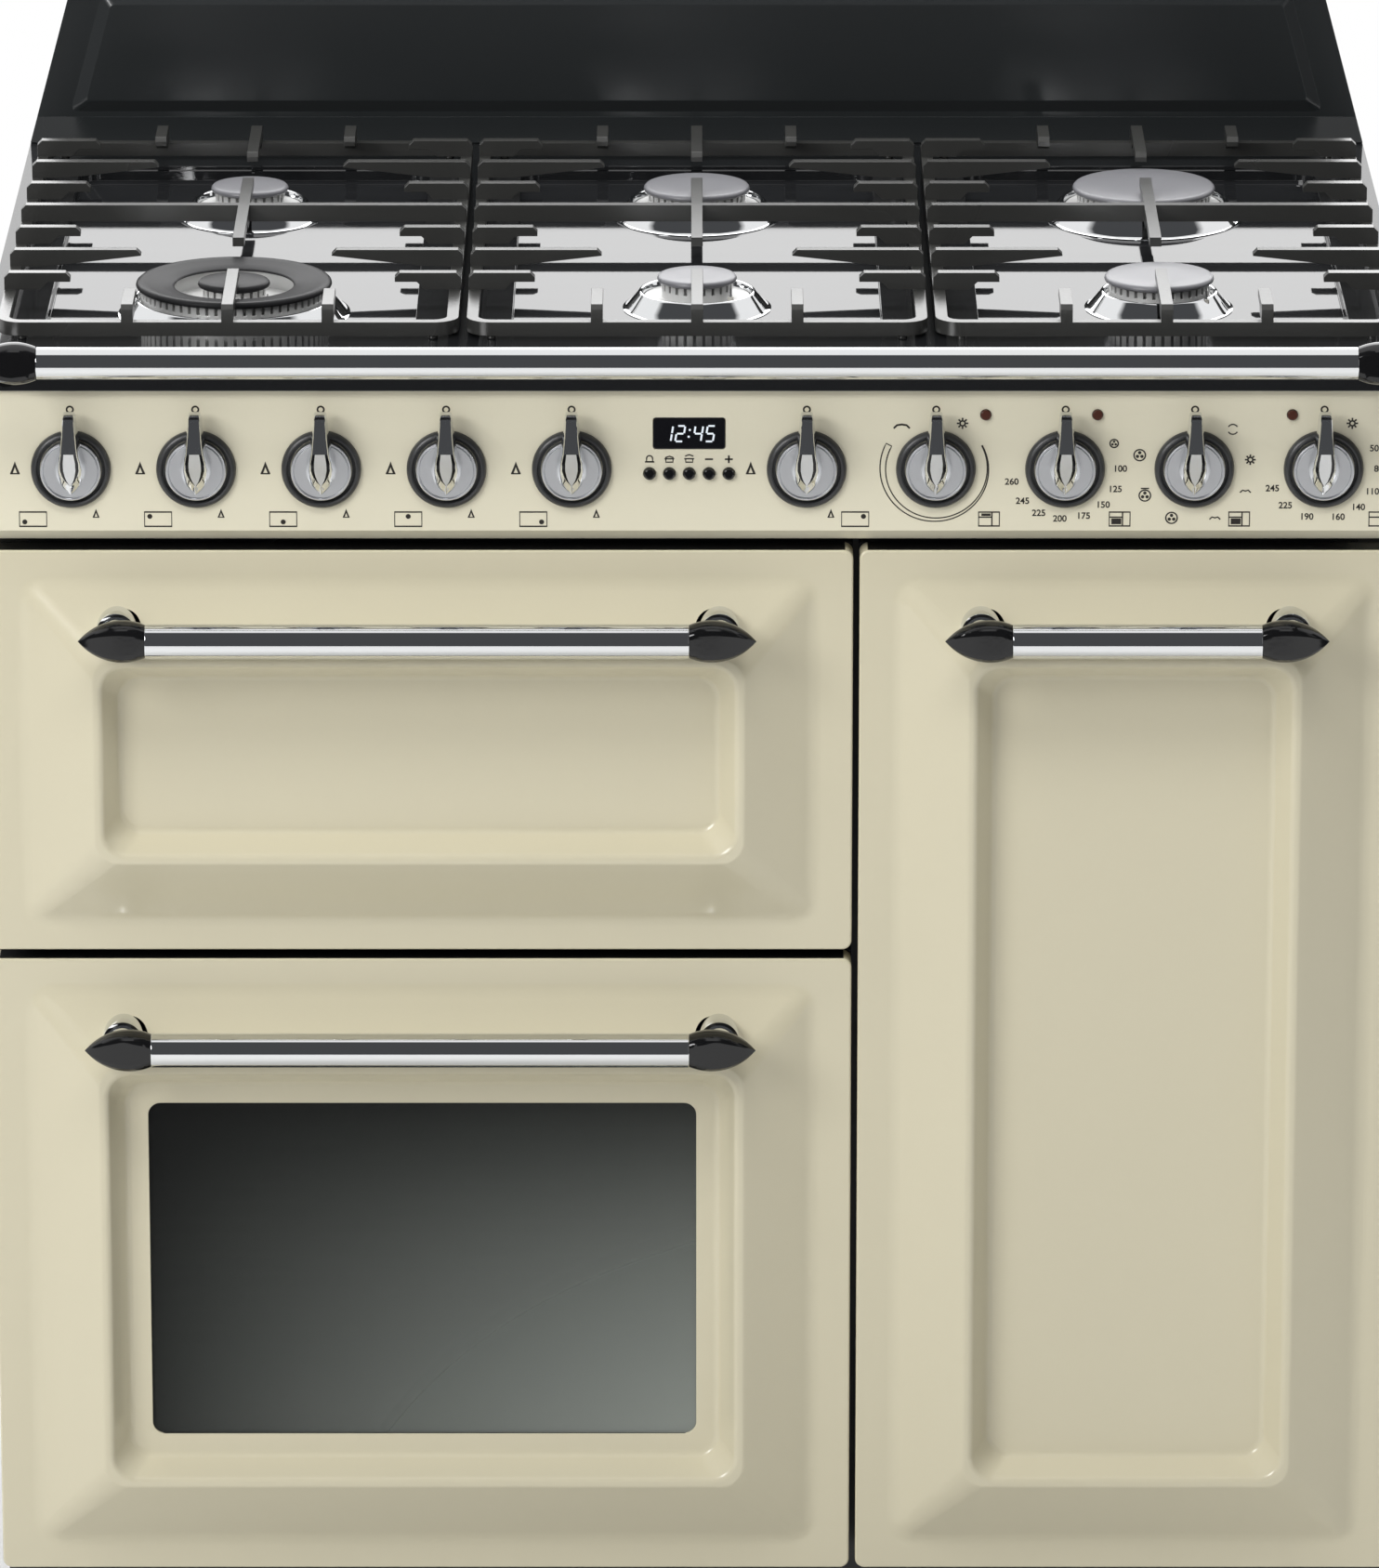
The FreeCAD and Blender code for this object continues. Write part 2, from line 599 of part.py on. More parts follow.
# Oven shelves: chromed wire racks. The side rails lie on the guides.
shelves = []
for oven, levels in (("grill", (0,)), ("main", (0, 2)), ("tall", (1, 3, 5))):
    middle, half, floor, roof = OVENS[oven]
    reach = f"{half} - wire_radius - clearance"
    ends = ("frame_back + fold", "cavity_rear - baffle_space - fold")
    for level in levels:
        height = f"{guide_levels(oven)[level]} + rail_seat"
        rails = [
            rod("y", (f"{middle} + {sign} * ({reach})", height), ends, "wire_radius") for sign in (-1, 1)
        ]
        wires = [
            rod("x", (f"{ends[0]} + wire_radius + {i} * wire_pitch", height),
                (f"{middle} - ({reach})", f"{middle} + {reach}"), "cross_wire")
            for i in range(int(measure(f"({ends[1]} - ({ends[0]})) / wire_pitch")) + 1)
        ]
        shelves.append(fuse(*rails, *wires))
node(group(*shelves), "oven_shelves")

# Oven fans: a motor behind the rear wall, its shaft through the wall, and a bladed wheel on the shaft.
BLADES = 10
motors = []


def spun(piece, axis, count, centre):
    """Copies of a piece set evenly round a line through a point of expressions."""
    pivot = V(*[measure(text) for text in centre])
    copies = []
    for i in range(count):
        turned = doc.addObject("Part::Compound", "turned")
        turned.Links = [piece]
        turned.Placement = FreeCAD.Placement(V(), FreeCAD.Rotation(axis, 360 / count * i), pivot)
        copies.append(turned)
    return copies


for oven in FAN_OVENS:
    middle = OVENS[oven][0]
    centre = (middle, fan_height(oven))
    motors.append(fuse(
        rod("y", centre, ("cavity_rear", "cavity_rear + motor_length"), "motor_radius"),
        rod("y", centre, ("cavity_rear - baffle_space + 2 * sheet", "cavity_rear"), "motor_shaft"),
    ))
    wheel_start = "cavity_rear - sheet - fan_depth - 2 * sheet"
    wheel_end = f"{wheel_start} + fan_depth"
    disc = rod("y", centre, (f"{wheel_end} - sheet", wheel_end), "fan_radius")
    hub = rod("y", centre, (wheel_start, wheel_end), "fan_hub")
    blade = box((f"{middle} + fan_hub + sheet", f"{middle} + fan_radius"), (wheel_start, wheel_end),
                (f"{centre[1]} - sheet / 2", f"{centre[1]} + sheet / 2"))
    blades = spun(blade, V(0, 1, 0), BLADES, (middle, "0", centre[1]))
    bore = rod("y", centre, (f"{wheel_start} - sheet", f"{wheel_end} + sheet"), "motor_shaft + hinge_fit")
    node(cut(fuse(disc, hub, *blades), bore), f"fan_impeller_{oven}")
node(group(*motors), "fan_motors")

# Heating elements: a ring round each fan and a bent rod under the roof of the grill.
elements = []
for oven in FAN_OVENS:
    ring = doc.addObject("Part::Torus", "ring")
    ring.Placement = FreeCAD.Placement(V(), TURNS["y"])
    ring.setExpression("Radius1", bind("ring_radius"))
    ring.setExpression("Radius2", bind("element_radius"))
    for name, text in zip("xyz", (OVENS[oven][0], "cavity_rear - baffle_space / 2", fan_height(oven))):
        ring.setExpression(f".Placement.Base.{name}", bind(text))
    tails = [
        rod("y", (f"{OVENS[oven][0]} + {sign} * element_radius * 2", f"{fan_height(oven)} - ring_radius"),
            ("cavity_rear - baffle_space / 2", "cavity_rear - sheet"), "element_radius")
        for sign in (-1, 1)
    ]
    elements.append(fuse(ring, *tails))
grill_line = "grill_roof - 5 * element_radius"
runs = [
    rod("y", (f"left_middle + {i} * run_pitch", grill_line), ("frame_back + 2 * fold", "cavity_rear - sheet"),
        "element_radius")
    for i in (-2.5, -1.5, -0.5, 0.5, 1.5, 2.5)
]
bends = [
    rod("x", ("frame_back + 2 * fold", grill_line),
        (f"left_middle + {i} * run_pitch", f"left_middle + {i + 1} * run_pitch"), "element_radius")
    for i in (-2.5, -0.5, 1.5)
]
elements += [fuse(runs[i], runs[i + 1], bends[i // 2]) for i in (0, 2, 4)]
node(group(*elements), "heating_elements")

# Control panel: a folded fascia with a bevel along its lower edge, closed at both ends.
fascia = part_body("control_panel")
outer_line = (
    ("frame_face", "panel_top"), ("front", "panel_top"), ("front", "panel_bottom + panel_bevel"),
    ("front + panel_bevel", "panel_bottom"), ("frame_face", "panel_bottom"),
)
mitre = "panel_bevel + (sqrt(2) - 1) * sheet"
inner_line = (
    ("frame_face", "panel_bottom + sheet"), (f"front + {mitre}", "panel_bottom + sheet"),
    ("front + sheet", f"panel_bottom + {mitre}"), ("front + sheet", "panel_top - sheet"),
    ("frame_face", "panel_top - sheet"),
)
pad(fascia, polygon(sketch_on(fascia, "YZ_Plane", "-door_side"), outer_line + inner_line), "2 * door_side")
for end in ("-door_side", "door_side - sheet"):
    pad(fascia, polygon(sketch_on(fascia, "YZ_Plane", end), outer_line), "sheet")

KNOBS = {
    f"knob_{name}": place for name, place in zip(
        ("front_left", "rear_left", "front_middle", "rear_middle", "front_right",
         "rear_right", "grill", "main_oven", "function", "tall_oven"),
        [f"{side}_knob + {i} * {side}_pitch" for side in ("left", "right") for i in range(5)])
}
BUTTONS = [f"display_x + {i - 2} * button_pitch" for i in range(5)]
LAMPS = (
    "right_knob + right_pitch + lamp_beside_grill",
    "right_knob + 2 * right_pitch + lamp_beside_oven",
    "right_knob + 4 * right_pitch - lamp_beside_oven",
)
holes = sketch_on(fascia, "XZ_Plane", "-front")
for x in KNOBS.values():
    circle(holes, x, "knob_height", "shaft_hole")
for x in BUTTONS:
    circle(holes, x, "button_height", "button_radius + clearance")
for x in LAMPS:
    circle(holes, x, "lamp_height", "lamp_radius + clearance")
rounded(holes, ("display_x - display_half - clearance", "display_x + display_half + clearance"),
        ("display_height - display_rise - clearance", "display_height + display_rise + clearance"),
        "display_radius")
pocket(fascia, holes, "2 * sheet")

# Display window, indicator lamps and push buttons stand in their holes of the panel.
glass_line = rounded(sketch_on(None, "XZ_Plane", "-(front + shaft_depth)"),
                     ("display_x - display_half", "display_x + display_half"),
                     ("display_height - display_rise", "display_height + display_rise"), "display_radius")
node(extrude(glass_line, "XZ_Plane", "shaft_depth + clearance"), "display_window")
lamp_span = ("front - lamp_proud", "front + shaft_depth")
lamps = [rod("y", (x, "lamp_height"), lamp_span, "lamp_radius") for x in LAMPS]
node(group(*lamps), "indicator_lamps")
for number, x in enumerate(BUTTONS, 1):
    button = fuse(
        rod("y", (x, "button_height"), ("front - button_proud", "front - button_proud + soft_edge"),
            "button_radius - soft_edge", "button_radius"),
        rod("y", (x, "button_height"),
            ("front - button_proud + soft_edge", "front + shaft_depth - 2 * button_travel"), "button_radius"),
    )
    node(button, f"button_{number}")

# Knob bezels: a fixed ring round each knob.
bezels = [
    cut(rod("y", (x, "knob_height"), ("front - bezel_thickness", "front"), "bezel_radius - soft_edge",
            "bezel_radius"),
        rod("y", (x, "knob_height"), ("front - 2 * bezel_thickness", "front + sheet"), "bezel_bore"))
    for x in KNOBS.values()
]
node(group(*bezels), "knob_bezels")

# Knobs: a disc with a raised lever that ends in a leaf below, on a shaft that turns the tap or switch.
for label, x in KNOBS.items():
    knob = part_body(label)
    base = "-(front - clearance)"
    pad(knob, circle(sketch_on(knob, "XZ_Plane", base), x, "knob_height", "disc_radius"), "disc_proud")
    lever = [
        (f"{x} + {sx} * ({half})", f"knob_height + {rise}") for sx, half, rise in (
            (-1, "lever_top_half", "lever_up"), (-1, "lever_mid_half", "lever_down / 2"),
            (-1, "lever_leaf_half", "-lever_down / 6"), (0, "0", "-lever_down"),
            (1, "lever_leaf_half", "-lever_down / 6"), (1, "lever_mid_half", "lever_down / 2"),
            (1, "lever_top_half", "lever_up"))
    ]
    pad(knob, polygon(sketch_on(knob, "XZ_Plane", f"{base} + disc_proud"), lever), "lever_proud - disc_proud")
    slope = polygon(sketch_on(knob, "YZ_Plane", f"{x} - 2 * lever_leaf_half"), (
        ("front - clearance - lever_proud", "knob_height + lever_down"),
        ("front - clearance - lever_proud", "knob_height - lever_down"),
        ("front - clearance - lever_leaf_proud", "knob_height - lever_down"),
    ))
    pocket(knob, slope, "4 * lever_leaf_half", forward=True)
    pad(knob, circle(sketch_on(knob, "XZ_Plane", base), x, "knob_height", "shaft_radius"),
        "shaft_depth", backward=True)

# Gas taps and oven switches: a neck against the back of the panel and a body behind it. The clock drives
# the display and takes the buttons.
controls = []
for x in KNOBS.values():
    neck = rod("y", (x, "knob_height"), ("front + sheet", "front + shaft_depth + sheet"), "tap_neck")
    case = box((f"{x} - tap_half", f"{x} + tap_half"),
               ("front + shaft_depth + sheet", "front + shaft_depth + sheet + tap_depth"),
               ("knob_height - tap_half", "knob_height + tap_half"))
    bore = rod("y", (x, "knob_height"), ("front", "front + shaft_depth + clearance"),
               "shaft_radius + hinge_fit")
    controls.append(cut(fuse(neck, case), bore))
controls.append(box(("display_x - clock_half", "display_x + clock_half"),
                    ("front + shaft_depth", "front + shaft_depth + clock_depth"),
                    ("display_height - display_rise - clock_rise", "display_height + display_rise + sheet")))
node(group(*controls), "taps_and_switches")

# Gas manifold: a pipe under the taps, turned to the rear along the right side, ending in the inlet thread.
manifold_y = "front + shaft_depth + manifold_back"
elbow = doc.addObject("Part::Sphere", "elbow")
elbow.setExpression("Radius", bind("manifold_radius"))
for name, text in zip("xyz", ("inlet_x", manifold_y, "manifold_line")):
    elbow.setExpression(f".Placement.Base.{name}", bind(text))
manifold = fuse(
    rod("x", (manifold_y, "manifold_line"), ("left_knob - tap_half", "inlet_x"), "manifold_radius"),
    elbow,
    rod("y", ("inlet_x", "manifold_line"), (manifold_y, "back_face + sheet"), "manifold_radius"),
    rod("y", ("inlet_x", "manifold_line"), ("back_face + sheet", "back_face + inlet_proud"), "inlet_radius"),
)
node(manifold, "gas_manifold")

# Burners: place, cap radius and cup radius of each. The front left one has an outer ring as well.
UNITS = {"left": "-support_pitch", "middle": "0", "right": "support_pitch"}
BURNERS = {
    "rear_left": ("left", "cross_line + rear_burners", "small_cap", "small_cup"),
    "front_left": ("left", "cross_line - front_burners - wok_shift", "wok_cap", "wok_cup"),
    "rear_middle": ("middle", "cross_line + rear_burners", "medium_cap", "medium_cup"),
    "front_middle": ("middle", "cross_line - front_burners", "small_cap", "small_cup"),
    "rear_right": ("right", "cross_line + rear_burners", "large_cap", "large_cup"),
    "front_right": ("right", "cross_line - front_burners", "medium_cap", "small_cup"),
}
WOK = "front_left"

# Hob top: one pressed sheet with a well under each pan support and a hole for each burner.
hob = part_body("hob_top")
hob_line = rounded(sketch_on(hob, "XY_Plane", "panel_top"), ("-side", "side"), ("hob_front", "rear"),
                   "hob_corner")
pad(hob, hob_line, "hob_rim - panel_top")
wells = sketch_on(hob, "XY_Plane", "hob_rim")
for middle in UNITS.values():
    well_half = "(support_width / 2 - well_inset)"
    rounded(wells, (f"{middle} - {well_half}", f"{middle} + {well_half}"),
            ("support_start + well_inset / 2", "support_end - well_inset"), "well_corner")
pressed = pocket(hob, wells, "hob_rim - hob_deck")
underside = min(range(len(pressed.Shape.Faces)), key=lambda i: pressed.Shape.Faces[i].CenterOfMass.z)
skin = hob.newObject("PartDesign::Thickness", "skin")
skin.Base = (pressed, [f"Face{underside + 1}"])
skin.setExpression("Value", bind("sheet"))
skin.Reversed = True
skin.Join = 1
burner_holes = sketch_on(hob, "XY_Plane", "hob_deck")
for unit, y, cap, cup in BURNERS.values():
    circle(burner_holes, UNITS[unit], y, "burner_hole")
pocket(hob, burner_holes, "2 * sheet")

# Burner cups, heads and caps. A cup is a skirt on the deck, and the head's neck goes down through both.
cups = []
heads = []
caps = []


def disc(centre, low, high, radius, end_radius=None):
    return rod("z", centre, (f"hob_deck + {low}", f"hob_deck + {high}"), radius, end_radius)


def ported(spot, radius):
    """A crown with a ring of flame slots under its top edge."""
    count = int(measure(f"2 * pi * ({radius}) / port_pitch"))
    x, y = spot
    port = box((f"{x} + {radius} - port_depth", f"{x} + {radius} + port_depth"),
               (f"{y} - port_half", f"{y} + port_half"),
               ("hob_deck + head_rise - port_rise", "hob_deck + head_rise + port_depth"))
    ports = spun(port, V(0, 0, 1), count, (x, y, "0"))
    return cut(disc(spot, "head_base", "head_rise", radius), group(*ports))


for name, (unit, y, cap, cup) in BURNERS.items():
    spot = (UNITS[unit], y)
    lean = "cup_taper * cup_wall / cup_rise"
    cups.append(cut(
        disc(spot, "0", "cup_rise", cup, f"{cup} - cup_taper"),
        disc(spot, "cup_wall", "cup_rise + cup_wall", f"{cup} - 2 * cup_wall - {lean}",
             f"{cup} - 2 * cup_wall - cup_taper - {lean}"),
        disc(spot, "-cup_wall", "2 * cup_wall", "neck_radius + clearance"),
    ))
    neck = disc(spot, "-neck_drop", "head_base", "neck_radius")
    foot = disc(spot, "cup_wall", "head_base", f"{cup} - cup_taper - 2 * cup_wall")
    core = "wok_core" if name == WOK else cap
    head = [neck, foot, ported(spot, f"{core} - head_inset")]
    if name == WOK:
        head.append(cut(ported(spot, f"{cap} - head_inset"),
                        disc(spot, "0", "cap_rise", "wok_inner + head_inset")))
        caps.append(cut(disc(spot, "head_rise", "cap_rise", cap, f"{cap} - cap_edge"),
                        disc(spot, "0", "2 * cap_rise", "wok_inner"),
                        disc(spot, "cap_rise - wok_dish", "cap_rise", "wok_inner", f"{cap} - 3 * cap_edge")))
    heads.append(fuse(*head))
    caps.append(disc(spot, "head_rise", "cap_rise", core, f"{core} - cap_edge"))
node(group(*cups), "burner_cups")
node(group(*heads), "burner_heads")
node(group(*caps), "burner_caps")


# Pan supports: a low frame with round corners, ribs that stand up from it and fingers with narrow tips.
def rib(plane, line, points):
    """An upright bar of the frame's thickness, drawn from the side and centred on a line."""
    sign = "-" if plane == "XZ_Plane" else ""
    shift = "+" if plane == "XZ_Plane" else "-"
    drawn = polygon(sketch_on(None, plane, f"{sign}({line} {shift} support_bar / 2)"), points)
    return extrude(drawn, plane, "support_bar")


def finger(plane, line, root, inward, reach, tapered=False):
    """A finger from the frame at root, deep at first. The rest is shallow, or narrows to the tip."""
    def at(distance):
        return f"({root}) + {inward} * ({distance})"
    shallow = [
        (at(reach), "finger_top - finger_tip"),
        (at("finger_step + finger_root - finger_tip"), "finger_top - finger_tip"),
    ]
    narrowing = [(at(reach), "finger_top - finger_slim")]
    return rib(plane, line, (
        (at("0"), "frame_low"),
        (at("0"), "finger_top - finger_nose"),
        (at("finger_nose"), "finger_top"),
        (at(f"{reach} - finger_nose"), "finger_top"),
        (at(reach), "finger_top - finger_nose"),
        *(narrowing if tapered else shallow),
        (at("finger_step"), "finger_top - finger_root"),
        (at("support_bar"), "finger_top - finger_root"),
        (at("support_bar"), "frame_low"),
    ))


def pan_support(label, middle):
    left = f"{middle} - support_width / 2"
    right = f"{middle} + support_width / 2"
    ring = sketch_on(None, "XY_Plane", "frame_low")
    rounded(ring, (left, right), ("support_start", "support_end"), "support_corner")
    rounded(ring, (f"{left} + support_bar", f"{right} - support_bar"),
            ("support_start + support_bar", "support_end - support_bar"), "support_corner - support_bar")
    bars = [extrude(ring, "XY_Plane", "frame_rise")]
    for root, inward in ((left, 1), (right, -1)):
        for step in (-3, -2, -1, 1, 2, 3):
            long = abs(step) == 2
            bars.append(finger("XZ_Plane", f"cross_line + {step} * finger_pitch", root, inward,
                               "finger_long" if long else "finger_short", long))
    for step in (-1, 0, 1):
        line = f"{middle} + {step} * end_pitch"
        front_reach = "front_short" if step else "front_long"
        rear_reach = "rear_short" if step else "rear_long"
        bars.append(finger("YZ_Plane", line, "support_start", 1, front_reach))
        bars.append(finger("YZ_Plane", line, "support_end", -1, rear_reach))
    bars.append(rib("XZ_Plane", "cross_line", (
        (left, "frame_low"), (left, "finger_top - finger_nose"), (f"{left} + finger_nose", "finger_top"),
        (f"{right} - finger_nose", "finger_top"), (right, "finger_top - finger_nose"), (right, "frame_low"),
        (f"{right} - support_bar", "frame_low"), (f"{right} - support_bar", "finger_top - finger_root"),
        (f"{left} + support_bar", "finger_top - finger_root"), (f"{left} + support_bar", "frame_low"),
    )))
    bars.append(rib("YZ_Plane", middle, (
        ("cross_line - rib_front", "finger_top - finger_tip"), ("cross_line - rib_front", "finger_top"),
        ("cross_line + rib_rear", "finger_top"), ("cross_line + rib_rear", "finger_top - finger_tip"),
        ("cross_line + finger_step + finger_root - finger_tip", "finger_top - finger_tip"),
        ("cross_line + finger_step", "finger_top - finger_root"),
        ("cross_line - finger_step", "finger_top - finger_root"),
        ("cross_line - finger_step - finger_root + finger_tip", "finger_top - finger_tip"),
    )))
    for x in (f"{left} + support_corner", f"{right} - support_corner"):
        for y in ("support_start + support_bar / 2", "support_end - support_bar / 2"):
            bars.append(rod("z", (x, y), ("hob_rim", "frame_low + frame_rise / 2"), "support_foot"))
    node(fuse(*bars), label)


for unit, middle in UNITS.items():
    pan_support(f"pan_support_{unit}", middle)

# Upstand: a hollow folded back piece, narrower towards the top, with a raised field.
upstand = part_body("splashback")


def trapezium(drawn, inset, low, high):
    """The upstand's outline drawn in by an inset, between two heights."""
    lean = "upstand_lean / (upstand_top - hob_rim)"
    def half_at(height):
        return f"side - ({inset}) - ({height} - hob_rim) * {lean}"
    return polygon(drawn, (
        (f"-({half_at(low)})", low), (half_at(low), low),
        (half_at(high), high), (f"-({half_at(high)})", high),
    ))


pad(upstand, trapezium(sketch_on(upstand, "XZ_Plane", "-upstand_face"), "0", "hob_rim", "upstand_top"),
    "upstand_depth", backward=True)
raised = "upstand_face - upstand_emboss"
field = ("upstand_border", "hob_rim + upstand_border", "upstand_top - upstand_border / 2")
field_top = ("upstand_border + 2 * upstand_emboss", "hob_rim + upstand_border + 2 * upstand_emboss",
             "upstand_top - upstand_border / 2 - 2 * upstand_emboss")
loft(upstand, "Additive",
     trapezium(sketch_on(upstand, "XZ_Plane", "-upstand_face"), *field),
     trapezium(sketch_on(upstand, "XZ_Plane", f"-({raised})"), *field_top))
hollow = trapezium(sketch_on(upstand, "XZ_Plane", "-rear"), "sheet", "hob_rim + sheet", "upstand_top - sheet")
pocket(upstand, hollow, "upstand_depth - sheet", forward=True)
soften(upstand, "field_corner", lambda edge: depths(edge) == depth_of("upstand_face") | depth_of(raised))


# Handles and the front rail: a straight bar between two pointed end caps, each cap on a round post.
def end_cap(end, outward, length, line, height, post_span, post_height, post_radius):
    """A cap turned from an arc between its neck at the bar and its point, with the post behind it."""
    drawn = sketch_on(None, "XZ_Plane", f"-({line})")
    tip = f"({end}) + {outward} * ({length})"
    shoulder = f"({height}) + cap_neck"
    start = V(measure(tip), measure(height), 0)
    finish = V(measure(end), measure(shoulder), 0)
    chord = finish - start
    radius = measure("cap_curve")
    sagitta = radius - math.sqrt(radius ** 2 - (chord.Length / 2) ** 2)
    bulge = V(0, 0, outward).cross(chord)
    bulge.normalize()
    crest = (start + finish) / 2 + bulge * -sagitta
    drawn.addGeometry(Part.Arc(start, crest, finish) if outward > 0 else Part.Arc(finish, crest, start))
    drawn.addGeometry(Part.LineSegment(finish, V(finish.x, start.y, 0)))
    drawn.addGeometry(Part.LineSegment(V(finish.x, start.y, 0), start))
    at_tip, at_neck = (1, 2) if outward > 0 else (2, 1)
    drawn.addConstraint(Sketcher.Constraint("Coincident", 0, at_neck, 1, 1))
    drawn.addConstraint(Sketcher.Constraint("Coincident", 1, 2, 2, 1))
    drawn.addConstraint(Sketcher.Constraint("Coincident", 2, 2, 0, at_tip))
    pin(drawn, 1, 1, end, shoulder)
    pin(drawn, 2, 1, end, height)
    pin(drawn, 2, 2, tip, height)
    held = drawn.addConstraint(Sketcher.Constraint("Radius", 0, radius))
    drawn.setExpression(f"Constraints[{held}]", bind("cap_curve"))
    cap = revolve(drawn, V(1, 0, 0), (end, line, height))
    post = rod("y", (f"({end}) + {outward} * cap_post_offset", post_height), post_span, post_radius)
    return fuse(cap, post)


rail_posts = ("rail_line", "hob_front")
rail_caps = [
    end_cap(f"{outward} * rail_half", outward, "rail_cap_length", "rail_line", "rail_height", rail_posts,
            "rail_height - rail_post_drop", "rail_post_radius")
    for outward in (-1, 1)
]
node(rod("x", ("rail_line", "rail_height"), ("-rail_half", "rail_half"), "rail_radius"), "front_rail_bar")
node(group(*rail_caps), "front_rail_caps")

# Doors: an enamelled pressing with a raised ridge round a sunk field, on a folded flange, and a liner behind.
DOORS = {
    "upper": (("-door_side", "left_door_end"), ("upper_bottom", "door_top"), "left_bar_half"),
    "lower": (("-door_side", "left_door_end"), ("door_bottom", "lower_top"), "left_bar_half"),
    "right": (("right_door_start", "door_side"), ("door_bottom", "door_top"), "right_bar_half"),
}
WINDOW_DOOR = "lower"


def inset(span, distance):
    return (f"{span[0]} + ({distance})", f"{span[1]} - ({distance})")


def rectangle(drawn, x, z):
    return polygon(drawn, ((x[0], z[0]), (x[1], z[0]), (x[1], z[1]), (x[0], z[1])))


for door, (x, z, bar_half) in DOORS.items():
    panel = part_body(f"{door}_door_panel")

    def frame_line(depth, from_edge, corner, owner=panel, sides=(x, z)):
        """A rounded outline of the pressing at a depth, drawn in from its outer border."""
        across = inset(sides[0], f"border_side + {from_edge}")
        upright = inset(sides[1], f"border_end + {from_edge}")
        return rounded(sketch_on(owner, "XZ_Plane", f"-({depth})"), across, upright, corner)

    flange = rounded(sketch_on(panel, "XZ_Plane", "-front"), x, z, "door_corner")
    pad(panel, flange, "flange_depth", backward=True)
    hollow = rounded(sketch_on(panel, "XZ_Plane", "-liner_face"), inset(x, "sheet"), inset(z, "sheet"),
                     "door_corner - sheet")
    pocket(panel, hollow, "flange_depth - sheet", forward=True)
    ridge = "slope_width - ridge_flat / 2"
    rim = "slope_width + ridge_flat / 2"
    floor = f"{rim} + recess_wall"
    loft(panel, "Additive", frame_line("front", "0", "outer_corner"),
         frame_line("ridge_face", ridge, "rim_corner"))
    loft(panel, "Subtractive", frame_line("front + sheet", "0", "outer_corner"),
         frame_line("ridge_face + sheet", ridge, "rim_corner"))
    loft(panel, "Additive", frame_line("ridge_face", f"{rim} - sheet", "rim_corner"),
         frame_line("recess_face + sheet", f"{floor} - sheet", "rim_corner"))
    loft(panel, "Subtractive", frame_line("ridge_face", rim, "rim_corner"),
         frame_line("recess_face", floor, "rim_corner"))
    ends = [measure(text) for text in (*x, *z)]

    def outermost(edge):
        spot = edge.CenterOfMass
        gaps = (spot.x - ends[0], ends[1] - spot.x, spot.z - ends[2], ends[3] - spot.z)
        return min(gaps) < measure("border_end / 2")

    soften(panel, "ridge_round", lambda edge: depths(edge) == depth_of("ridge_face"))
    soften(panel, "recess_round", lambda edge: depths(edge) == depth_of("recess_face"))
    soften(panel, "slope_round", lambda edge: depths(edge) == depth_of("front") and not outermost(edge))
    soften(panel, "border_round", lambda edge: depths(edge) == depth_of("front") and outermost(edge))
    window = f"{floor} + window_margin"
    if door == WINDOW_DOOR:
        pocket(panel, frame_line("recess_face", window, "window_corner"), "2 * sheet")
    middle = f"({x[0]} + {x[1]}) / 2"
    bar_height = f"{z[1]} - handle_drop"
    posts = sketch_on(panel, "XZ_Plane", "-ridge_face")
    for sign in (-1, 1):
        circle(posts, f"{middle} + {sign} * ({bar_half} + cap_post_offset)", bar_height,
               "post_radius + clearance")
    pocket(panel, posts, "ridge_proud + 2 * sheet")
    for axis, line, start, inward in hinge_places(door):
        past = "bracket_thickness + clearance"
        lug = hinge_span(start, inward, past, f"{past} + lug_thickness")
        reach = (f"{line} - lug_reach", f"{line} + lug_reach")
        stem = rectangle(sketch_on(panel, "XZ_Plane", "-(front + sheet)"), *upright(axis, lug, reach))
        pad(panel, stem, "hinge_back - sheet + bracket_half", backward=True)
        edge = HINGES[door][2]
        notch = sketch_on(panel, "XZ_Plane", "-liner_face")
        rectangle(notch, *upright(axis, hinge_span(start, inward, "-sheet", past),
                                  (f"{edge} - 2 * sheet", f"{edge} + 2 * sheet")))
        pocket(panel, notch, "flange_depth - sheet", forward=True)
        plane = "YZ_Plane" if axis == "x" else "XY_Plane"
        centre = ("front + hinge_back", line) if axis == "x" else (line, "front + hinge_back")
        eye = circle(sketch_on(panel, plane, lug[0]), *centre, "hinge_pin + hinge_fit")
        pocket(panel, eye, "lug_thickness", forward=True)

    # The liner keeps clear of the hinges on its own edge of the door.
    liner_x = (x[0], f"{x[1]} - liner_rise") if door == "right" else x
    liner_z = z if door == "right" else (f"{z[0]} + liner_rise", z[1])
    liner = cut(
        box(liner_x, ("liner_face", "liner_back"), liner_z),
        box(inset(liner_x, "sheet"), ("liner_face - sheet", "liner_back - sheet"), inset(liner_z, "sheet")),
    )
    if door == WINDOW_DOOR:
        opening = f"border_side + {window}"
        rise = f"border_end + {window}"
        liner = cut(liner, box(inset(x, opening), ("liner_face", "liner_back + sheet"), inset(z, rise)))
        lap = "window_margin - sheet"
        panes = [
            box(inset(x, f"{opening} - ({lap})"), depth, inset(z, f"{rise} - ({lap})"))
            for depth in (("recess_face + sheet", "recess_face + sheet + glass"),
                          ("liner_back - sheet - glass", "liner_back - sheet"))
        ]
        node(group(*panes), "lower_door_glass")
    node(liner, f"{door}_door_liner")

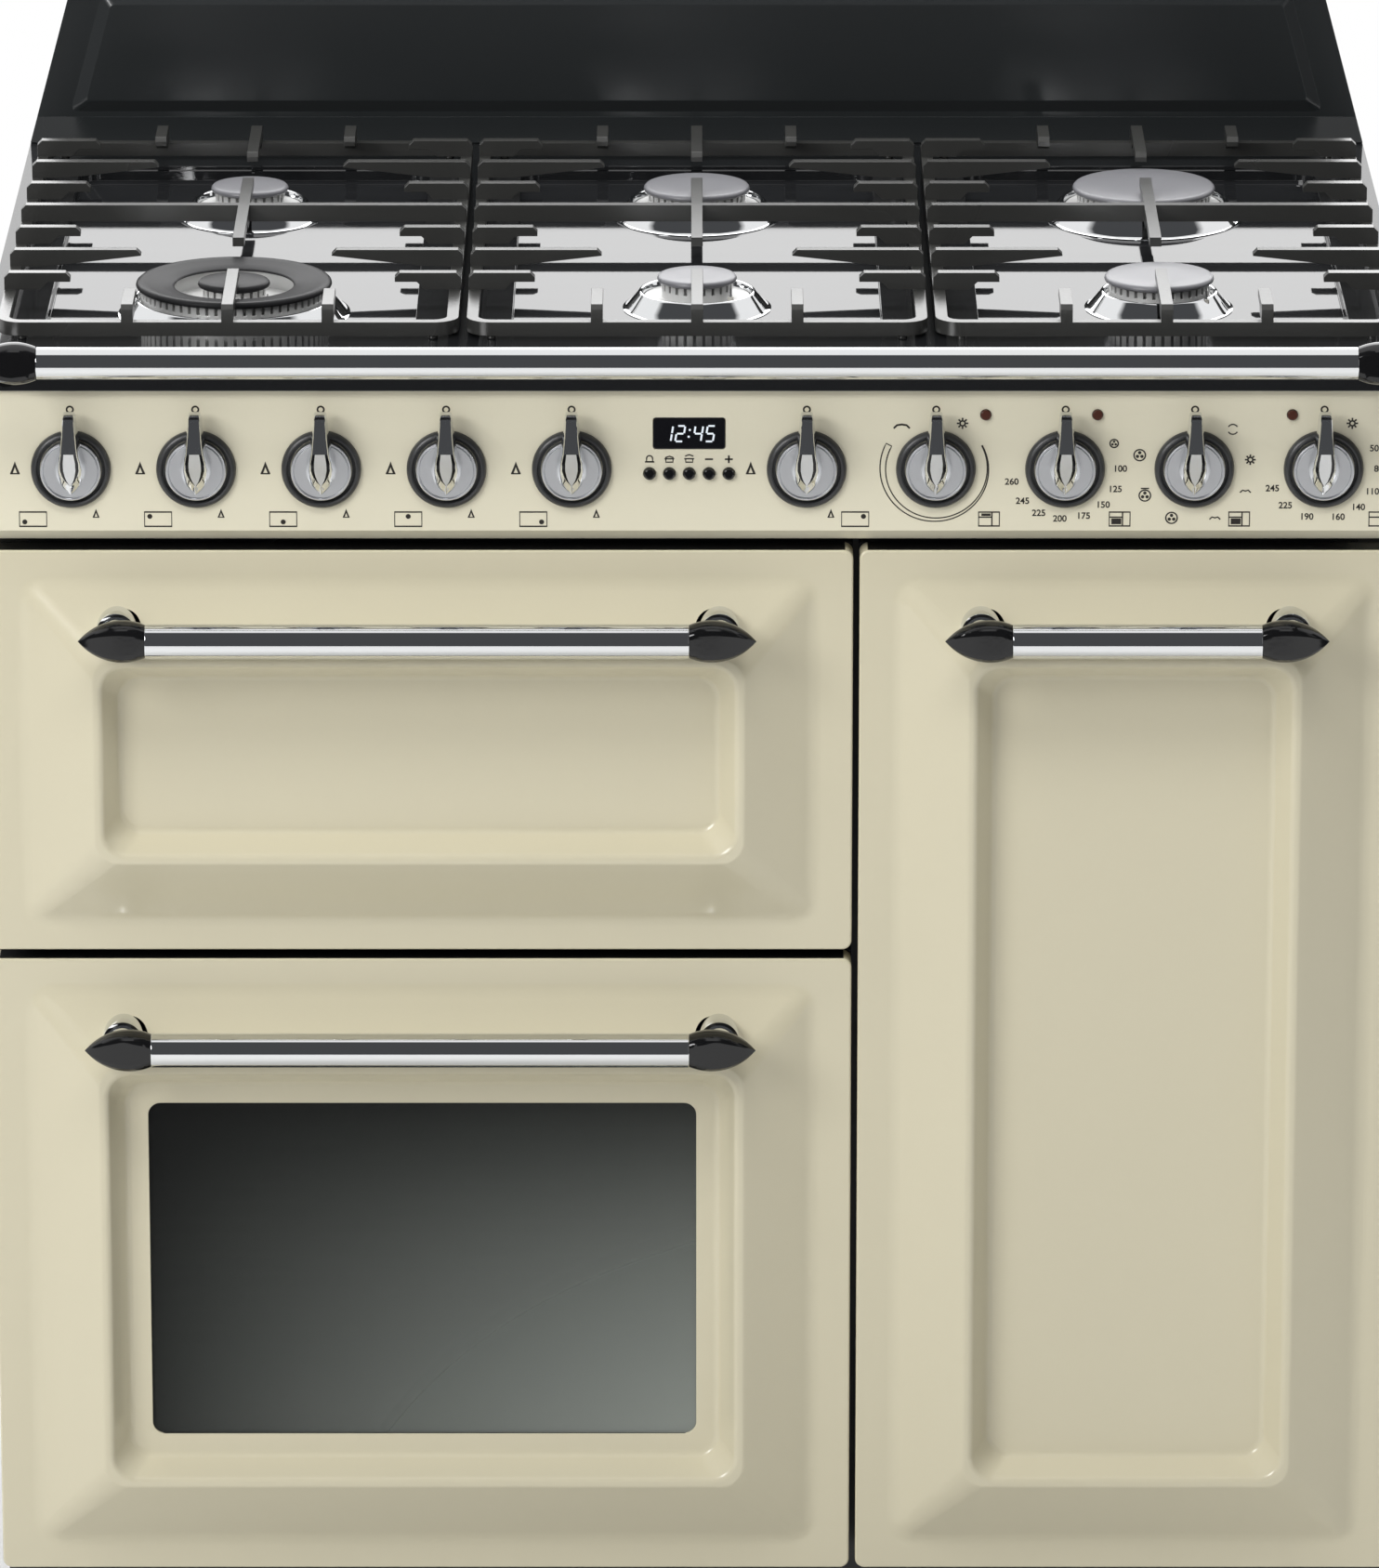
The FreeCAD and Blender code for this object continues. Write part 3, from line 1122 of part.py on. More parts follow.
    bar_span = (f"{middle} - {bar_half}", f"{middle} + {bar_half}")
    node(rod("x", ("bar_line", bar_height), bar_span, "bar_radius"), f"{door}_handle_bar")
    caps_of_door = [
        end_cap(end, outward, "cap_length", "bar_line", bar_height, ("bar_line", "front + 2 * sheet"),
                bar_height, "post_radius")
        for end, outward in zip(bar_span, (-1, 1))
    ]
    node(group(*caps_of_door), f"{door}_handle_caps")

# Every piece has to be sound before any file is written.
doc.recompute()
failed = [item.Label for item in doc.Objects if {"Invalid", "Error"} & set(item.State)]
if failed:
    raise RuntimeError(f"not built: {failed}")
for piece in nodes:
    if piece.Shape.isNull() or not piece.Shape.isValid():
        raise RuntimeError(f"{piece.Label}: no sound shape")
os.makedirs("parts", exist_ok=True)
for piece in nodes:
    piece.Shape.exportStep(f"parts/{piece.Label}.step")
print(len(nodes), "pieces written")
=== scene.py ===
import json
from math import cos, pi, radians, sin

import bmesh
import bpy
from mathutils import Matrix, Vector


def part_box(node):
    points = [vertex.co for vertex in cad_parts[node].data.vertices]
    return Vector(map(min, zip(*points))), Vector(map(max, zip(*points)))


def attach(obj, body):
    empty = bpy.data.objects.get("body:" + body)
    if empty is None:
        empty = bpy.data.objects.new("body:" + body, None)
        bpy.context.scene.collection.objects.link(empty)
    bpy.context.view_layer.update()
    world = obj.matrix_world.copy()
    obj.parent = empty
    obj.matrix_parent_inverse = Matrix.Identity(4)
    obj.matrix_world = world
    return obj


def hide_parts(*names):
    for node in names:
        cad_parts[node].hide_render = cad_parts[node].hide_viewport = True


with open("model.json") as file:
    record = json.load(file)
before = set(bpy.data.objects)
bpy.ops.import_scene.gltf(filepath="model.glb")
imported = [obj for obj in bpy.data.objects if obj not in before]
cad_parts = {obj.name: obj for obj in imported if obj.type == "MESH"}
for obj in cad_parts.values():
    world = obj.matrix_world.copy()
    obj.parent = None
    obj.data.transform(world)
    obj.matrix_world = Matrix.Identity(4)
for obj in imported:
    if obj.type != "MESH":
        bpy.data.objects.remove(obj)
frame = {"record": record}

scene = bpy.context.scene
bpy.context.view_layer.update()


# Studio: a long lens a little above the hob looks down on the front, as a catalogue picture does.
# Soft lights hang at the upper left, over the front, over the hob and behind it, above a pale floor.
# The room is white behind and overhead and dark in front, which draws the dark line along the chrome.
scene.view_settings.view_transform = "Standard"

look_at = Vector((-0.0048, 0.0, 0.5293))
camera_rise = radians(16.91)
camera_far = 7.0
sensor_tall = 36
focal_length, picture_tall = 11445, 1687  # in pixels of the picture
camera = bpy.data.objects.new("camera", bpy.data.cameras.new("camera"))
camera.data.sensor_fit = "VERTICAL"
camera.data.sensor_height = sensor_tall
camera.data.lens = sensor_tall * focal_length / picture_tall
camera.location = look_at + camera_far * Vector((0, -cos(camera_rise), sin(camera_rise)))
camera.rotation_euler = (pi / 2 - camera_rise, 0, 0)
scene.collection.objects.link(camera)
scene.camera = camera


def soft_light(name, place, aim, size, power, mirrored):
    """A panel of soft light. A fill isn't mirrored in polished pieces."""
    lamp = bpy.data.lights.new(name, "AREA")
    lamp.shape = "RECTANGLE"
    lamp.size, lamp.size_y = size
    lamp.energy = power
    holder = bpy.data.objects.new(name, lamp)
    holder.location = place
    holder.rotation_euler = (Vector(aim) - Vector(place)).to_track_quat("-Z", "Y").to_euler()
    holder.visible_glossy = mirrored
    scene.collection.objects.link(holder)


soft_light("key_light", (-2.9, -3.2, 2.9), (0, 0, 0.6), (1.8, 1.8), 112, True)
soft_light("side_light", (2.6, -2.2, 1.6), (0, 0, 0.5), (1.2, 2.0), 3, True)
soft_light("front_fill", (-1.4, -4.2, 1.6), (0, 0, 0.5), (2.6, 2.2), 9, False)
soft_light("brow_light", (-0.2, -1.55, 3.0), (0, -0.3, 0.6), (2.4, 0.7), 37, False)
soft_light("top_light", (0, 0.75, 2.7), (0, 0, 0.9), (2.4, 1.0), 46, False)
soft_light("rear_light", (0, 2.6, 2.3), (0, -0.1, 0.9), (3.6, 2.3), 66, True)


def add_node(tree, kind, feeds=None, **options):
    """A node with its options set and its sockets linked to others or given plain values."""
    made = tree.nodes.new(kind)
    for option, choice in options.items():
        setattr(made, option, choice)
    for label, value in (feeds or {}).items():
        if isinstance(value, bpy.types.NodeSocket):
            tree.links.new(value, made.inputs[label])
        else:
            made.inputs[label].default_value = value
    return made


def span(tree, value, low, high, to_low=0, to_high=1):
    """A value read from one range into another."""
    feeds = {"Value": value, "From Min": low, "From Max": high, "To Min": to_low, "To Max": to_high}
    return add_node(tree, "ShaderNodeMapRange", feeds).outputs["Result"]


def worked(tree, operation, first, second):
    """Two values worked into one."""
    return add_node(tree, "ShaderNodeMath", {0: first, 1: second}, operation=operation).outputs[0]


def blend(tree, share, first, second, way="MIX"):
    """A share of a second colour laid over a first."""
    feeds = {"Factor": share, "A": first, "B": second}
    return add_node(tree, "ShaderNodeMix", feeds, data_type="RGBA", blend_type=way).outputs["Result"]


def new_material(name):
    made = bpy.data.materials.new(name)
    made.use_nodes = True
    return made, made.node_tree, made.node_tree.nodes["Principled BSDF"]


room = bpy.data.worlds.new("studio_room")
room.use_nodes = True
scene.world = room
sky = room.node_tree
toward = add_node(sky, "ShaderNodeTexCoord").outputs["Generated"]
apart = add_node(sky, "ShaderNodeSeparateXYZ", {0: toward}).outputs
overhead = span(sky, apart["Z"], 0.955, 0.98)
behind = span(sky, apart["Y"], 0.0, 0.12)
pale = worked(sky, "MAXIMUM", overhead, behind)
seen_by = add_node(sky, "ShaderNodeLightPath").outputs
in_view = worked(sky, "MAXIMUM", seen_by["Is Camera Ray"], seen_by["Is Transmission Ray"])
backdrop = worked(sky, "MAXIMUM", pale, in_view)
walls = blend(sky, backdrop, (0.07, 0.072, 0.076, 1), (1, 1, 1, 1))
sky.links.new(walls, sky.nodes["Background"].inputs["Color"])

floor_mesh = bpy.data.meshes.new("floor")
floor_mesh.from_pydata([(-2.6, -2.9, 0), (2.6, -2.9, 0), (2.6, 3.0, 0), (-2.6, 3.0, 0)], [], [(0, 1, 2, 3)])
floor = bpy.data.objects.new("floor", floor_mesh)
scene.collection.objects.link(floor)
floor_paint, paint, floor_shader = new_material("floor_paint")
floor_shader.inputs["Base Color"].default_value = (0.7, 0.7, 0.69, 1)
floor_shader.inputs["Roughness"].default_value = 0.6
fade_start, fade_end = 0.75, 2.0
spot = add_node(paint, "ShaderNodeTexCoord").outputs["Object"]
reach = add_node(paint, "ShaderNodeVectorMath", {0: spot}, operation="LENGTH").outputs["Value"]
fade = span(paint, reach, fade_start, fade_end)
seen_by = add_node(paint, "ShaderNodeLightPath").outputs
mirrored = worked(paint, "MAXIMUM", seen_by["Is Glossy Ray"], seen_by["Is Transmission Ray"])
in_view = worked(paint, "MAXIMUM", seen_by["Is Camera Ray"], mirrored)
white_share = worked(paint, "MULTIPLY", fade, in_view)
white = add_node(paint, "ShaderNodeEmission", {"Strength": 1})
sweep = add_node(paint, "ShaderNodeMixShader", {0: white_share, 1: floor_shader.outputs[0], 2: white.outputs[0]})
paint.links.new(sweep.outputs[0], paint.nodes["Material Output"].inputs["Surface"])
floor_mesh.materials.append(floor_paint)


# Outer carcass: dark side panels, galvanised back and base, black plinth and adjustable feet.
# The sheets are folded steel with small rounded folds, screwed to one another behind the front.
body_of = {n: body for body, held in frame["record"]["behaviour"]["bodies"].items() for n in held}

sprayed_coat = bpy.data.node_groups.new("sprayed_coat", "ShaderNodeTree")
for label, kind, value in (("Colour", "NodeSocketColor", (0.5, 0.5, 0.5, 1)),
                           ("Cloud", "NodeSocketFloat", 0.05),
                           ("Gloss low", "NodeSocketFloat", 0.1),
                           ("Gloss high", "NodeSocketFloat", 0.2)):
    sprayed_coat.interface.new_socket(label, in_out="INPUT", socket_type=kind).default_value = value
for label, kind in (("Colour", "NodeSocketColor"), ("Roughness", "NodeSocketFloat"), ("Peel", "NodeSocketFloat")):
    sprayed_coat.interface.new_socket(label, in_out="OUTPUT", socket_type=kind)
given = add_node(sprayed_coat, "NodeGroupInput").outputs
place = add_node(sprayed_coat, "ShaderNodeTexCoord").outputs["Object"]
cloud = add_node(sprayed_coat, "ShaderNodeTexNoise", {"Vector": place, "Scale": 5, "Detail": 3}).outputs["Fac"]
peel = add_node(sprayed_coat, "ShaderNodeTexNoise", {"Vector": place, "Scale": 420, "Detail": 1}).outputs["Fac"]
darkest = worked(sprayed_coat, "SUBTRACT", 1, given["Cloud"])
shade = span(sprayed_coat, cloud, 0, 1, darkest, 1)
tint = blend(sprayed_coat, 1, given["Colour"], shade, "MULTIPLY")
gloss = span(sprayed_coat, cloud, 0, 1, given["Gloss low"], given["Gloss high"])
add_node(sprayed_coat, "NodeGroupOutput", {"Colour": tint, "Roughness": gloss, "Peel": peel})


def coated(name, colour, cloud, gloss, peel, metal=0.0, clear=0.0):
    """A sprayed or fired coat: a colour with a faint cloud, a range of gloss and a fine grain."""
    made, tree, shader = new_material(name)
    feeds = {"Colour": (*colour, 1), "Cloud": cloud, "Gloss low": gloss[0], "Gloss high": gloss[1]}
    coat = add_node(tree, "ShaderNodeGroup", feeds, node_tree=sprayed_coat).outputs
    tree.links.new(coat["Colour"], shader.inputs["Base Color"])
    tree.links.new(coat["Roughness"], shader.inputs["Roughness"])
    grain = add_node(tree, "ShaderNodeBump", {"Strength": peel, "Distance": 0.0004, "Height": coat["Peel"]})
    tree.links.new(grain.outputs["Normal"], shader.inputs["Normal"])
    shader.inputs["Metallic"].default_value = metal
    shader.inputs["Coat Weight"].default_value = clear
    shader.inputs["Coat Roughness"].default_value = 0.04
    return made


def finish_piece(piece, body, material, nodes):
    """The material of a finished piece, the body that it rides on and the solids that it stands for."""
    piece.data.materials.clear()
    piece.data.materials.append(material)
    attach(piece, body)
    if nodes:
        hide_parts(*nodes)


def dress(node, name, material, fold, steps=2, crease=30):
    """A copy of a solid with its sharp edges rounded over."""
    shell = bmesh.new()
    shell.from_mesh(bpy.data.objects[node].data)
    bmesh.ops.remove_doubles(shell, verts=shell.verts, dist=1e-6)
    bmesh.ops.dissolve_limit(shell, angle_limit=radians(0.5), verts=shell.verts, edges=shell.edges)
    sharp = [e for e in shell.edges if len(e.link_faces) == 2 and e.calc_face_angle(0) > radians(crease)]
    bmesh.ops.bevel(shell, geom=sharp, offset=fold, offset_type="OFFSET", segments=steps, profile=0.5,
                    affect="EDGES", clamp_overlap=True)
    bmesh.ops.recalc_face_normals(shell, faces=shell.faces)
    mesh = bpy.data.meshes.new(name)
    shell.to_mesh(mesh)
    shell.free()
    mesh.shade_smooth()
    mesh.set_sharp_from_angle(angle=radians(crease + 5))
    piece = bpy.data.objects.new(name, mesh)
    scene.collection.objects.link(piece)
    even = piece.modifiers.new("even_shading", "WEIGHTED_NORMAL")
    even.keep_sharp = True
    finish_piece(piece, body_of[node], material, [node])


zinc_sheet = coated("zinc_sheet", (0.52, 0.53, 0.54), 0.25, (0.34, 0.5), 0.1, metal=0.9)
carcass_steel = coated("carcass_steel", (0.03, 0.03, 0.032), 0.2, (0.35, 0.5), 0.15)
rubber = coated("seal_rubber", (0.018, 0.018, 0.018), 0.2, (0.6, 0.75), 0.2)
dress("side_panel_left", "left_side_panel", carcass_steel, 0.0012)
dress("side_panel_right", "right_side_panel", carcass_steel, 0.0012)
dress("back_panel", "rear_panel", zinc_sheet, 0.0006, 1)
dress("base_tray", "floor_tray", zinc_sheet, 0.0006, 1)
dress("plinth_panel", "kick_plate", carcass_steel, 0.001)
dress("front_frame", "oven_surround", carcass_steel, 0.0006, 1)
dress("levelling_feet", "screw_feet", rubber, 0.001)


# Rear screws: a line of low-headed zinc screws round the edge of the back panel, at an even pitch.
# They hold the panel to the returns of the side panels and stand on its outer face.
def pattern_tree(name, sizes):
    """Geometry nodes with a geometry in and out, a named input for each size and one for the material."""
    tree = bpy.data.node_groups.new(name, "GeometryNodeTree")
    tree.interface.new_socket("Geometry", in_out="INPUT", socket_type="NodeSocketGeometry")
    for label, value in sizes.items():
        tree.interface.new_socket(label, in_out="INPUT", socket_type="NodeSocketFloat").default_value = value
    tree.interface.new_socket("Material", in_out="INPUT", socket_type="NodeSocketMaterial")
    tree.interface.new_socket("Geometry", in_out="OUTPUT", socket_type="NodeSocketGeometry")
    return tree, add_node(tree, "NodeGroupInput").outputs


def place_copies(tree, given, spots, shape, turn):
    """The end of a pattern: a copy of a shape at each spot, turned, made real and given its material."""
    copies = add_node(tree, "GeometryNodeInstanceOnPoints", {"Points": spots, "Instance": shape, "Rotation": turn})
    real = add_node(tree, "GeometryNodeRealizeInstances", {0: copies.outputs[0]})
    coat = add_node(tree, "GeometryNodeSetMaterial", {"Geometry": real.outputs[0], "Material": given["Material"]})
    add_node(tree, "NodeGroupOutput", {"Geometry": coat.outputs[0]})


def set_out(name, tree, points, edges, values):
    """A pattern run on points or lines and kept as a plain mesh."""
    ground = bpy.data.meshes.new(f"{name}_ground")
    ground.from_pydata(points, edges, [])
    piece = bpy.data.objects.new(name, ground)
    scene.collection.objects.link(piece)
    pattern = piece.modifiers.new("pattern", "NODES")
    pattern.node_group = tree
    for item in tree.interface.items_tree:
        if item.in_out == "INPUT" and item.name in values:
            pattern[item.identifier] = values[item.name]
    made = bpy.data.meshes.new_from_object(piece.evaluated_get(bpy.context.evaluated_depsgraph_get()))
    piece.modifiers.remove(pattern)
    piece.data = made
    bpy.data.meshes.remove(ground)
    made.name = name
    made.shade_smooth()
    made.set_sharp_from_angle(angle=radians(40))
    return piece


screw_line, given = pattern_tree("screw_line", {"Pitch": 0.12, "Head radius": 0.004, "Head height": 0.002})
line = add_node(screw_line, "GeometryNodeMeshToCurve", {0: given["Geometry"]}).outputs[0]
paced = add_node(screw_line, "GeometryNodeResampleCurve", {"Curve": line, "Length": given["Pitch"]}, mode="LENGTH")
narrower = worked(screw_line, "MULTIPLY", given["Head radius"], 0.72)
head = add_node(screw_line, "GeometryNodeMeshCone", {"Vertices": 20, "Radius Bottom": given["Head radius"],
                                                     "Radius Top": narrower, "Depth": given["Head height"]})
place_copies(screw_line, given, paced.outputs[0], head.outputs["Mesh"], (radians(-90), 0, 0))
back_low, back_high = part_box("back_panel")
screw_inset, rim_depth = 0.012, 0.01
left, right = back_low[0] + screw_inset, back_high[0] - screw_inset
bottom, top = back_low[2] + screw_inset, back_high[2] - screw_inset
outer_face = back_high[1] - rim_depth
back_line = [(x, outer_face, z) for x, z in ((left, bottom), (right, bottom), (right, top), (left, top))]
rear_screws = set_out("rear_screws", screw_line, back_line, [(0, 1), (1, 2), (2, 3), (3, 0)],
                      {"Pitch": 0.118, "Head radius": 0.0042, "Head height": 0.0022, "Material": zinc_sheet})
finish_piece(rear_screws, "cooker", zinc_sheet, [])


# Oven insides: deep-drawn boxes in speckled dark enamel with wire shelves on guides.
# Each box hangs behind the front frame, with a soft seal pressed in round its mouth.
def speckled(name):
    """Dark enamel with fine pale flecks."""
    made = coated(name, (0.02, 0.021, 0.026), 0.3, (0.2, 0.32), 0.1)
    tree = made.node_tree
    base = tree.nodes["Principled BSDF"].inputs["Base Color"]
    place = add_node(tree, "ShaderNodeTexCoord").outputs["Object"]
    spots = add_node(tree, "ShaderNodeTexVoronoi", {"Vector": place, "Scale": 260}).outputs["Distance"]
    fleck = span(tree, spots, 0.16, 0.1)
    tree.links.new(blend(tree, fleck, base.links[0].from_socket, (0.12, 0.13, 0.15, 1)), base)
    return made


oven_enamel = speckled("oven_enamel")
for oven in ("grill", "main", "tall"):
    dress(f"{oven}_cavity", f"{oven}_oven_box", oven_enamel, 0.001, 1)
dress("door_seals", "mouth_seals", rubber, 0.001, 1)


def polished(name, colour, low, high):
    """Bright metal whose gloss changes a little over faint polishing marks."""
    made, tree, shader = new_material(name)
    place = add_node(tree, "ShaderNodeTexCoord").outputs["Object"]
    marks = add_node(tree, "ShaderNodeTexNoise", {"Vector": place, "Scale": 160, "Detail": 2}).outputs["Fac"]
    tree.links.new(span(tree, marks, 0, 1, low, high), shader.inputs["Roughness"])
    shader.inputs["Base Color"].default_value = (*colour, 1)
    shader.inputs["Metallic"].default_value = 1
    return made


chrome = polished("chrome", (0.78, 0.79, 0.8), 0.03, 0.08)
plain_steel = polished("plain_steel", (0.5, 0.5, 0.5), 0.25, 0.4)
dress("oven_shelves", "wire_shelves", chrome, 0.0002, 1)
for fan in ("main", "tall"):
    dress(f"fan_impeller_{fan}", f"{fan}_oven_fan", plain_steel, 0.0003, 1)
dress("fan_motors", "fan_motor_cases", plain_steel, 0.001, 1)
dress("heating_elements", "element_rods", plain_steel, 0.0002, 1)


# Gas train: a brass-coloured manifold behind the control panel with a tap for each burner.
# The inlet stub comes out of the back panel, and oven switches stand beside the taps.
brass = polished("gas_brass", (0.62, 0.46, 0.2), 0.22, 0.36)
dress("gas_manifold", "gas_pipe", brass, 0.0006, 1)
dress("taps_and_switches", "tap_bodies", brass, 0.0006, 1)


# Control panel: one pressed cream strip with a bevelled lower edge, under the front rail.
# Black mouldings, lamp lenses, push buttons and the clock window fill its holes from the front.
def turned(profile, steps=64):
    """Points and faces of (radius, height) pairs turned about Z, closed to a point at radius nought."""
    points, faces, rings = [], [], []
    for radius, height in profile:
        count = steps if radius > 1e-7 else 1
        rings.append(range(len(points), len(points) + count))
        points += [Vector((radius * cos(2 * pi * i / steps), radius * sin(2 * pi * i / steps), height))
                   for i in range(count)]
    for low, high in zip(rings, rings[1:]):
        for i in range(steps):
            j = (i + 1) % steps
            around = (low[i % len(low)], low[j % len(low)], high[j % len(high)], high[i % len(high)])
            faces.append(tuple(dict.fromkeys(around)))
    return points, faces


def built(name, parts, crease=35):
    """One mesh piece from several lists of points and faces, each with its place."""
    shell = bmesh.new()
    for points, faces, place in parts:
        corners = [shell.verts.new(place @ Vector(p)) for p in points]
        for face in faces:
            if len(face) > 2:
                shell.faces.new([corners[i] for i in face])
    bmesh.ops.remove_doubles(shell, verts=shell.verts, dist=1e-6)
    bmesh.ops.recalc_face_normals(shell, faces=shell.faces)
    mesh = bpy.data.meshes.new(name)
    shell.to_mesh(mesh)
    shell.free()
    mesh.shade_smooth()
    mesh.set_sharp_from_angle(angle=radians(crease))
    piece = bpy.data.objects.new(name, mesh)
    scene.collection.objects.link(piece)
    return piece


FORWARD = Matrix.Rotation(radians(90), 4, "X")
panel_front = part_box("control_panel")[0][1]
# Painted light: the panel's cream is lighter and paler than the doors' cream, making up for the shade that the
# rail and the hob's edge cast on it.
panel_enamel_lightened = coated("panel_enamel_lightened", (0.8, 0.755, 0.59), 0.03, (0.16, 0.24), 0.06, clear=0.25)
dress("control_panel", "switch_panel", panel_enamel_lightened, 0.0015, 3)

knob_radius = 0.019
knob_places = {}
for node in body_of:
    if node.startswith("knob_") and node != "knob_bezels":
        low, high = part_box(node)
        knob_places[node] = Vector(((low[0] + high[0]) / 2, panel_front, low[2] + knob_radius))
black_gloss = coated("black_gloss", (0.006, 0.006, 0.0065), 0.2, (0.05, 0.1), 0.03)
ring_grey = coated("ring_grey", (0.042, 0.043, 0.045), 0.2, (0.3, 0.4), 0.25)
ring_line = [(0.0194, 0.0), (0.0194, 0.0004), (0.0211, 0.0005), (0.0212, 0.003), (0.0217, 0.0037),
             (0.0226, 0.004), (0.0236, 0.0036), (0.0245, 0.0024), (0.025, 0.0009), (0.025, 0.0), (0.0194, 0.0)]
rings = built("knob_rings", [(*turned(ring_line), Matrix.Translation(p) @ FORWARD) for p in knob_places.values()])
finish_piece(rings, "cooker", ring_grey, ["knob_bezels"])

lamp_lens = coated("lamp_lens", (0.085, 0.026, 0.016), 0.2, (0.1, 0.2), 0.05)
dress("indicator_lamps", "pilot_lamps", lamp_lens, 0.0008, 3)
display_glass = coated("display_glass", (0.006, 0.006, 0.008), 0.2, (0.04, 0.07), 0.01)
dress("display_window", "clock_window", display_glass, 0.0006, 2)
for n in range(1, 6):
    dress(f"button_{n}", f"clock_button_{n}", black_gloss, 0.0008, 3)


# Knobs: a satin disc with a turned rim, a shallow groove, and a tall lever across it in bright chrome.
# The lever stands up past the ring as a rounded finger and ends below in a raised leaf.
satin = polished("satin_metal", (0.8, 0.81, 0.83), 0.3, 0.4)
disc_line = [(0.0, 0.006), (0.0168, 0.006), (0.0172, 0.0056), (0.0176, 0.006), (0.0179, 0.0064),
             (0.0185, 0.0064), (0.0189, 0.006), (knob_radius, 0.0052), (knob_radius, 0.0003), (0.0, 0.0003)]
shaft_line = [(0.0, 0.0003), (0.004, 0.0003), (0.004, -0.012), (0.0, -0.012)]
# height above the knob's centre, half width at the foot, half width of the front, reach ahead of the panel
lever_line = [(0.0392, 0.0030, 0.0020, 0.0120), (0.0388, 0.0036, 0.0027, 0.0180),
              (0.0375, 0.0040, 0.0031, 0.0215), (0.0355, 0.0043, 0.0032, 0.0228),
              (0.0260, 0.0053, 0.0038, 0.0236), (0.0155, 0.0067, 0.0048, 0.0236),
              (0.0085, 0.0088, 0.0060, 0.0195), (0.0030, 0.0097, 0.0060, 0.0163),
              (-0.0015, 0.0092, 0.0048, 0.0136), (-0.0050, 0.0080, 0.0031, 0.0117),
              (-0.0084, 0.0062, 0.0004, 0.0099), (-0.0115, 0.0038, 0.0003, 0.0082),
              (-0.0150, 0.0004, 0.0001, 0.0063)]
leaf_rows = lever_line[5:11]
over_disc, over_ring, ring_from = 0.0058, 0.009, 0.0195
leaf_foot = -0.0006


def skinned(points, count):
    """Faces over a stack of rings of points, closed at both ends."""
    faces = [(a + i, a + (i + 1) % count, a + count + (i + 1) % count, a + count + i)
             for a in range(0, len(points) - count, count) for i in range(count)]
    return faces + [tuple(range(count)), tuple(range(len(points) - count, len(points)))]


def lever_mesh():
    """The lever as a stack of cross sections from its tip down to the point below the leaf."""
    points = []
    for rise, half, front, reach in lever_line:
        base = over_disc if rise < ring_from else over_ring
        depth = reach - base
        right = [(half, 0), (half * 0.98, 0.35), (front + (half - front) * 0.45, 0.8), (front + 0.0003, 0.97),
                 (front, 1)]
        outline = right + [(-x, y) for x, y in reversed(right)]
        points += [Vector((x, -(base + depth * y), rise)) for x, y in outline]
    return points, skinned(points, len(outline))


def leaf_mesh(share, lift):
    """A leaf let into the lever's sloping lower front, of a share of its width and a height above it."""
    points = [Vector((side * front * share, -(reach + step), rise)) for step in (lift, leaf_foot)
              for rise, half, front, reach in leaf_rows for side in (-1, 1)]
    count = 2 * len(leaf_rows)
    faces = [(2 * i, 2 * i + 1, 2 * i + 3, 2 * i + 2) for i in range(len(leaf_rows) - 1)]
    faces += [tuple(count + i for i in reversed(face)) for face in faces]
    around = list(range(0, count, 2)) + list(range(count - 1, 0, -2))
    faces += [(i, j, count + j, count + i) for i, j in zip(around, around[1:] + around[:1])]
    return points, faces


for node, centre in knob_places.items():
    there = Matrix.Translation(centre)
    ahead = there @ FORWARD
    plate = built(f"{node}_disc", [(*turned(disc_line), ahead), (*turned(shaft_line, 24), ahead)])
    finish_piece(plate, node, satin, [node])
    lever = built(f"{node}_lever", [(*lever_mesh(), there)], 28)
    finish_piece(lever, node, chrome, [])
    # A thin black sheet a little wider than the leaf is painted shade: the dark line round the leaf.
    leaf_outline_shade = built(f"{node}_leaf_shade_line", [(*leaf_mesh(0.97, 0.00006), there)], 28)
    finish_piece(leaf_outline_shade, node, black_gloss, [])
    leaf = built(f"{node}_leaf", [(*leaf_mesh(0.64, 0.00016), there)], 28)
    finish_piece(leaf, node, satin, [])


# Printed marks: fired-on dark signs beside the knobs and buttons, drawn in millimetres.
# They are thin prints that lie on the enamel.
MM = 0.001
print_lift = 0.00012
fine_pen, fan_pen, sign_pen, bold_pen = 0.84, 0.91, 1.05, 1.12
ink_parts = []


def print_on(outline, faces, x, z):
    points = [Vector((u * MM, 0, w * MM)) for u, w in outline]
    ink_parts.append((points, faces, Matrix.Translation((x, panel_front - print_lift, z))))


def flat(outline, x, z):
    """A filled sign."""
    print_on(outline, [tuple(range(len(outline)))], x, z)


def band(first, second, x, z, closed):
    """A sign between two lines with as many points each."""
    count = len(first)
    steps = count if closed else count - 1
    faces = [(i, (i + 1) % count, count + (i + 1) % count, count + i) for i in range(steps)]
    print_on(first + second, faces, x, z)


def stroke(line, width, x, z, closed=False):
    """A sign drawn along a line with a pen of one width."""
    count = len(line)
    left, right = [], []
    for i, (u, w) in enumerate(line):
        before = line[i - 1] if i or closed else line[i]
        after = line[(i + 1) % count] if i < count - 1 or closed else line[i]
        along = Vector((after[0] - before[0], after[1] - before[1])).normalized() * width / 2
        left.append((u - along.y, w + along.x))
        right.append((u + along.y, w - along.x))
    band(left, right, x, z, closed)


def polar(radius, turn):
    return radius * cos(radians(turn)), radius * sin(radians(turn))


def arc(radius, start, end, steps, middle=(0, 0)):
    around = [polar(radius, start + (end - start) * i / steps) for i in range(steps + 1)]
    return [(middle[0] + u, middle[1] + w) for u, w in around]


def circle(radius, width, x, z, steps=20):
    stroke(arc(radius, 0, 345, steps), width, x, z, True)


